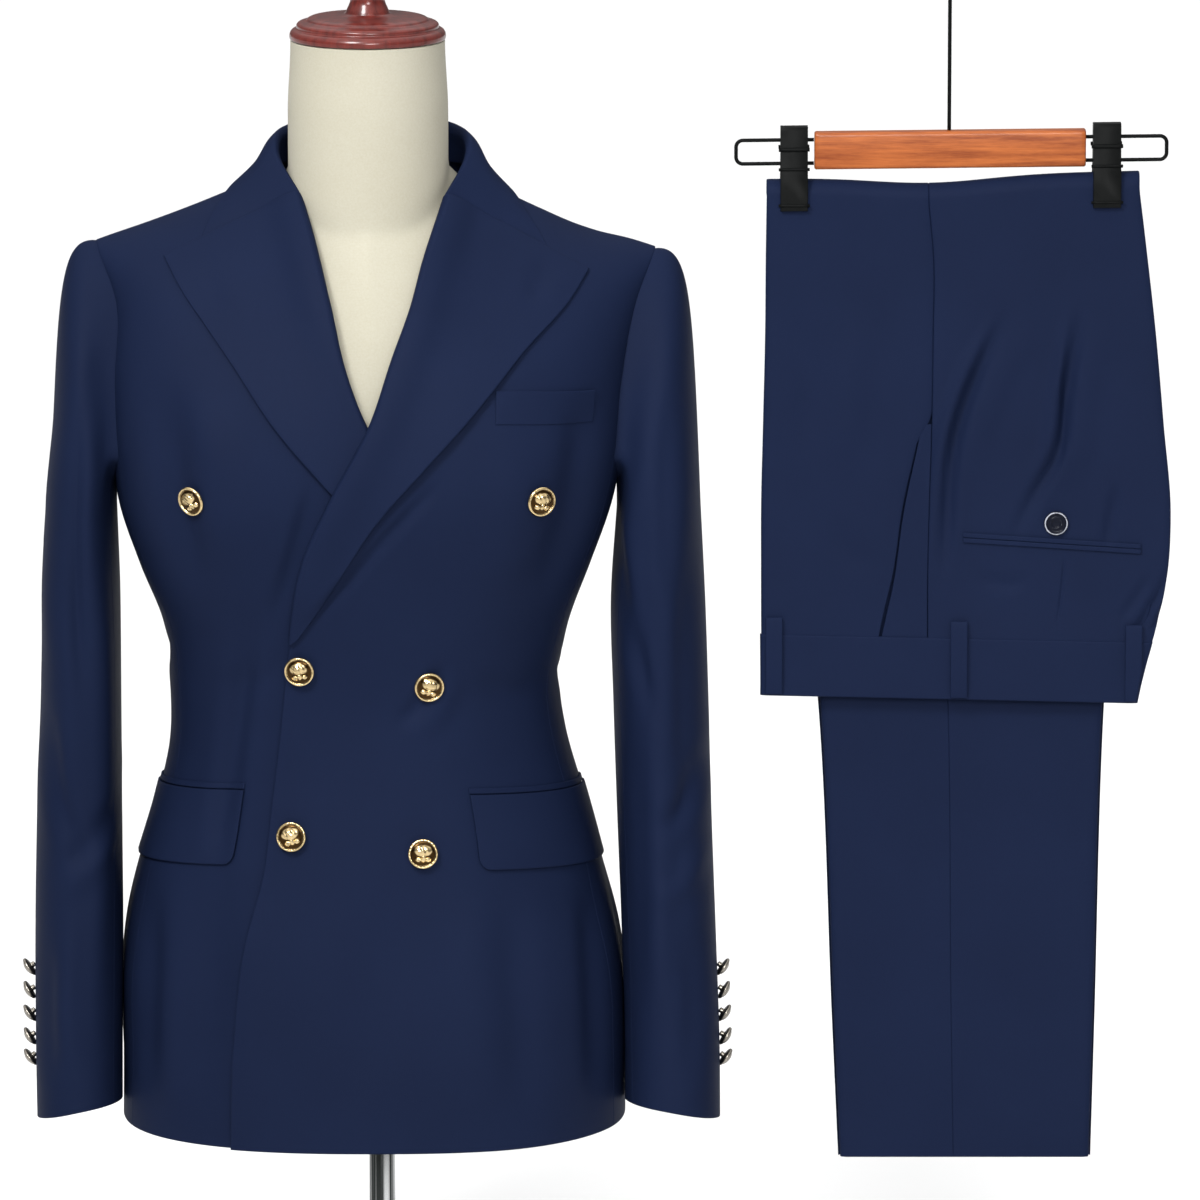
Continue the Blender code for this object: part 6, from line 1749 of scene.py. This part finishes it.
POLE_PROFILE = (
    (AXIS_R, POLE_Z[0]), (POLE_R - POLE_EDGE[0], POLE_Z[0]), (POLE_R, POLE_Z[0] + POLE_EDGE[1]),
    (POLE_R, POLE_Z[1] - POLE_EDGE[1]), (POLE_R - POLE_EDGE[0], POLE_Z[1]), (AXIS_R, POLE_Z[1]),
)
BASE_PROFILE = (
    (AXIS_R, 0), (169, 0), (170, 1), (170, 5), (168.5, 7.6), (165, 9.5), (30, 12), (25, 12.4), (22, 13.4),
    (21, 15), (21, 38.8), (19.8, 40), (11, 40), (10.2, 39.2), (10.2, 12), (AXIS_R, 12),
)


def form_columns():
    """Columns of the form's surface: the jacket's own, moved in to leave the cloth clear."""
    turns = np.linspace(-math.pi, math.pi, FORM_TURNS + 1)[:-1]
    top = settled(lambda z: ridge(body(turns, z)[..., 0]), turns.shape, 2 * ROUNDS)
    turn, v = np.meshgrid(turns, shares(FORM_SHARES), indexing="ij")
    z = climb(v, FORM_BOTTOM_Z - COLUMN_FOOT, top[:, None])
    below = top[:, None] - z
    inset = FORM_SEAT + FORM_DROP * (1 - np.exp(-below / DROP_OVER)) + FORM_EASE * ease(below / EASE_OVER)
    surface = body(turn, z)
    out = np.abs(surface[..., 0] - RIDGE_MID)
    inset += NECK_CLEAR * ease((NECK_CLEAR_FROM - out) / (NECK_CLEAR_FROM - NECK_CLEAR_FULL))
    inset += END_CLEAR * between(out, END_CLEAR_FROM, END_CLEAR_FULL)
    return surface - body_normal(turn, z) * (CLOTH + inset)[..., None]


def form_ring(columns, z, angles):
    """Radii of the form round the neck's axis at a height."""
    found = []
    for column in columns:
        heights = np.maximum.accumulate(column[:, 2])
        if heights[-1] > z:
            found.append([np.interp(z, heights, column[:, 0]), np.interp(z, heights, column[:, 1])])
    neck = np.full(angles.shape, NECK_R - NECK_TAPER * between(z, TAPER_FROM, NECK_TOP_Z))
    if len(found) < LEAST_COLUMNS:
        return neck
    x, y = np.array(found).T
    turn = np.arctan2(y - NECK_AXIS[1], x - NECK_AXIS[0])
    radius = np.hypot(x - NECK_AXIS[0], y - NECK_AXIS[1])
    order = np.argsort(turn)
    turn, radius = turn[order], radius[order]
    turn = np.concatenate([turn - 2 * math.pi, turn, turn + 2 * math.pi])
    torso_radius = np.interp(angles, turn, np.tile(radius, 3))
    torso_radius -= NECK_EASE * np.abs(np.sin(angles)) * between(z, *COLLAR_EASE_Z)
    if z < NECK_FROM_Z:
        return torso_radius
    return (torso_radius**NECK_BLEND + neck**NECK_BLEND) ** (1 / NECK_BLEND)


def make_form():
    angles = np.linspace(0, 2 * math.pi, FORM_ANGLES, endpoint=False)
    columns = form_columns()
    rows = [np.arange(*row) for row in FORM_ROWS]
    rings = []
    for z in np.concatenate([FOOT_ROWS, *rows, NECK_ROWS]):
        foot = np.clip(1 - (z - FORM_BOTTOM_Z) / FORM_FOOT_HIGH, 0, 1)
        radius = form_ring(columns, z, angles) - FORM_FOOT * (1 - np.sqrt(1 - foot**2))
        x, y = NECK_AXIS[0] + radius * np.cos(angles), NECK_AXIS[1] + radius * np.sin(angles)
        rings.append(np.stack([x, y, np.full(angles.shape, float(z))], 1))
    dress(tube_mesh("form_covered", rings, LINEN), "form_torso")


def make_cap():
    points, faces = lathe(rounded_profile(CAP_PROFILE, steps=6, share=0.42), segments=128)
    dress(mesh_object("cap_turned", points + (*NECK_AXIS, 0), faces, MAHOGANY), "form_cap")


def make_stand():
    pole = mesh_object("pole_chromed", *lathe(POLE_PROFILE, segments=64), STEEL_PAINTED_REFLECTIONS)
    dress(pole, "stand_pole")
    base = mesh_object("base_chromed", *lathe(BASE_PROFILE, segments=160), CHROME)
    dress(base, "stand_base")


# ------------------------------------------------------------------------------------------------
for side, word in SIDES:
    make_front(side, word)
    make_side(side, word)
    make_back(side, word)
    make_lapel(side, word)
    make_sleeve(side, f"{word}_top_sleeve", (FORE_SEAM, math.pi, hind_seam), (49, 21))
    make_sleeve(side, f"{word}_under_sleeve", (hind_seam, FORE_SEAM + 2 * math.pi), (49,))
make_collar()
for side, word in SIDES:
    make_flap(side, word)
    make_jet(side, word)
make_welt()
make_buttons()
make_cuff_buttons()
make_trousers()
make_bar()
for side, word in SIDES:
    make_bar_wire(side, word)
make_hook()
for clip in CLIPS:
    make_clip(*clip)
make_form()
make_cap()
make_stand()
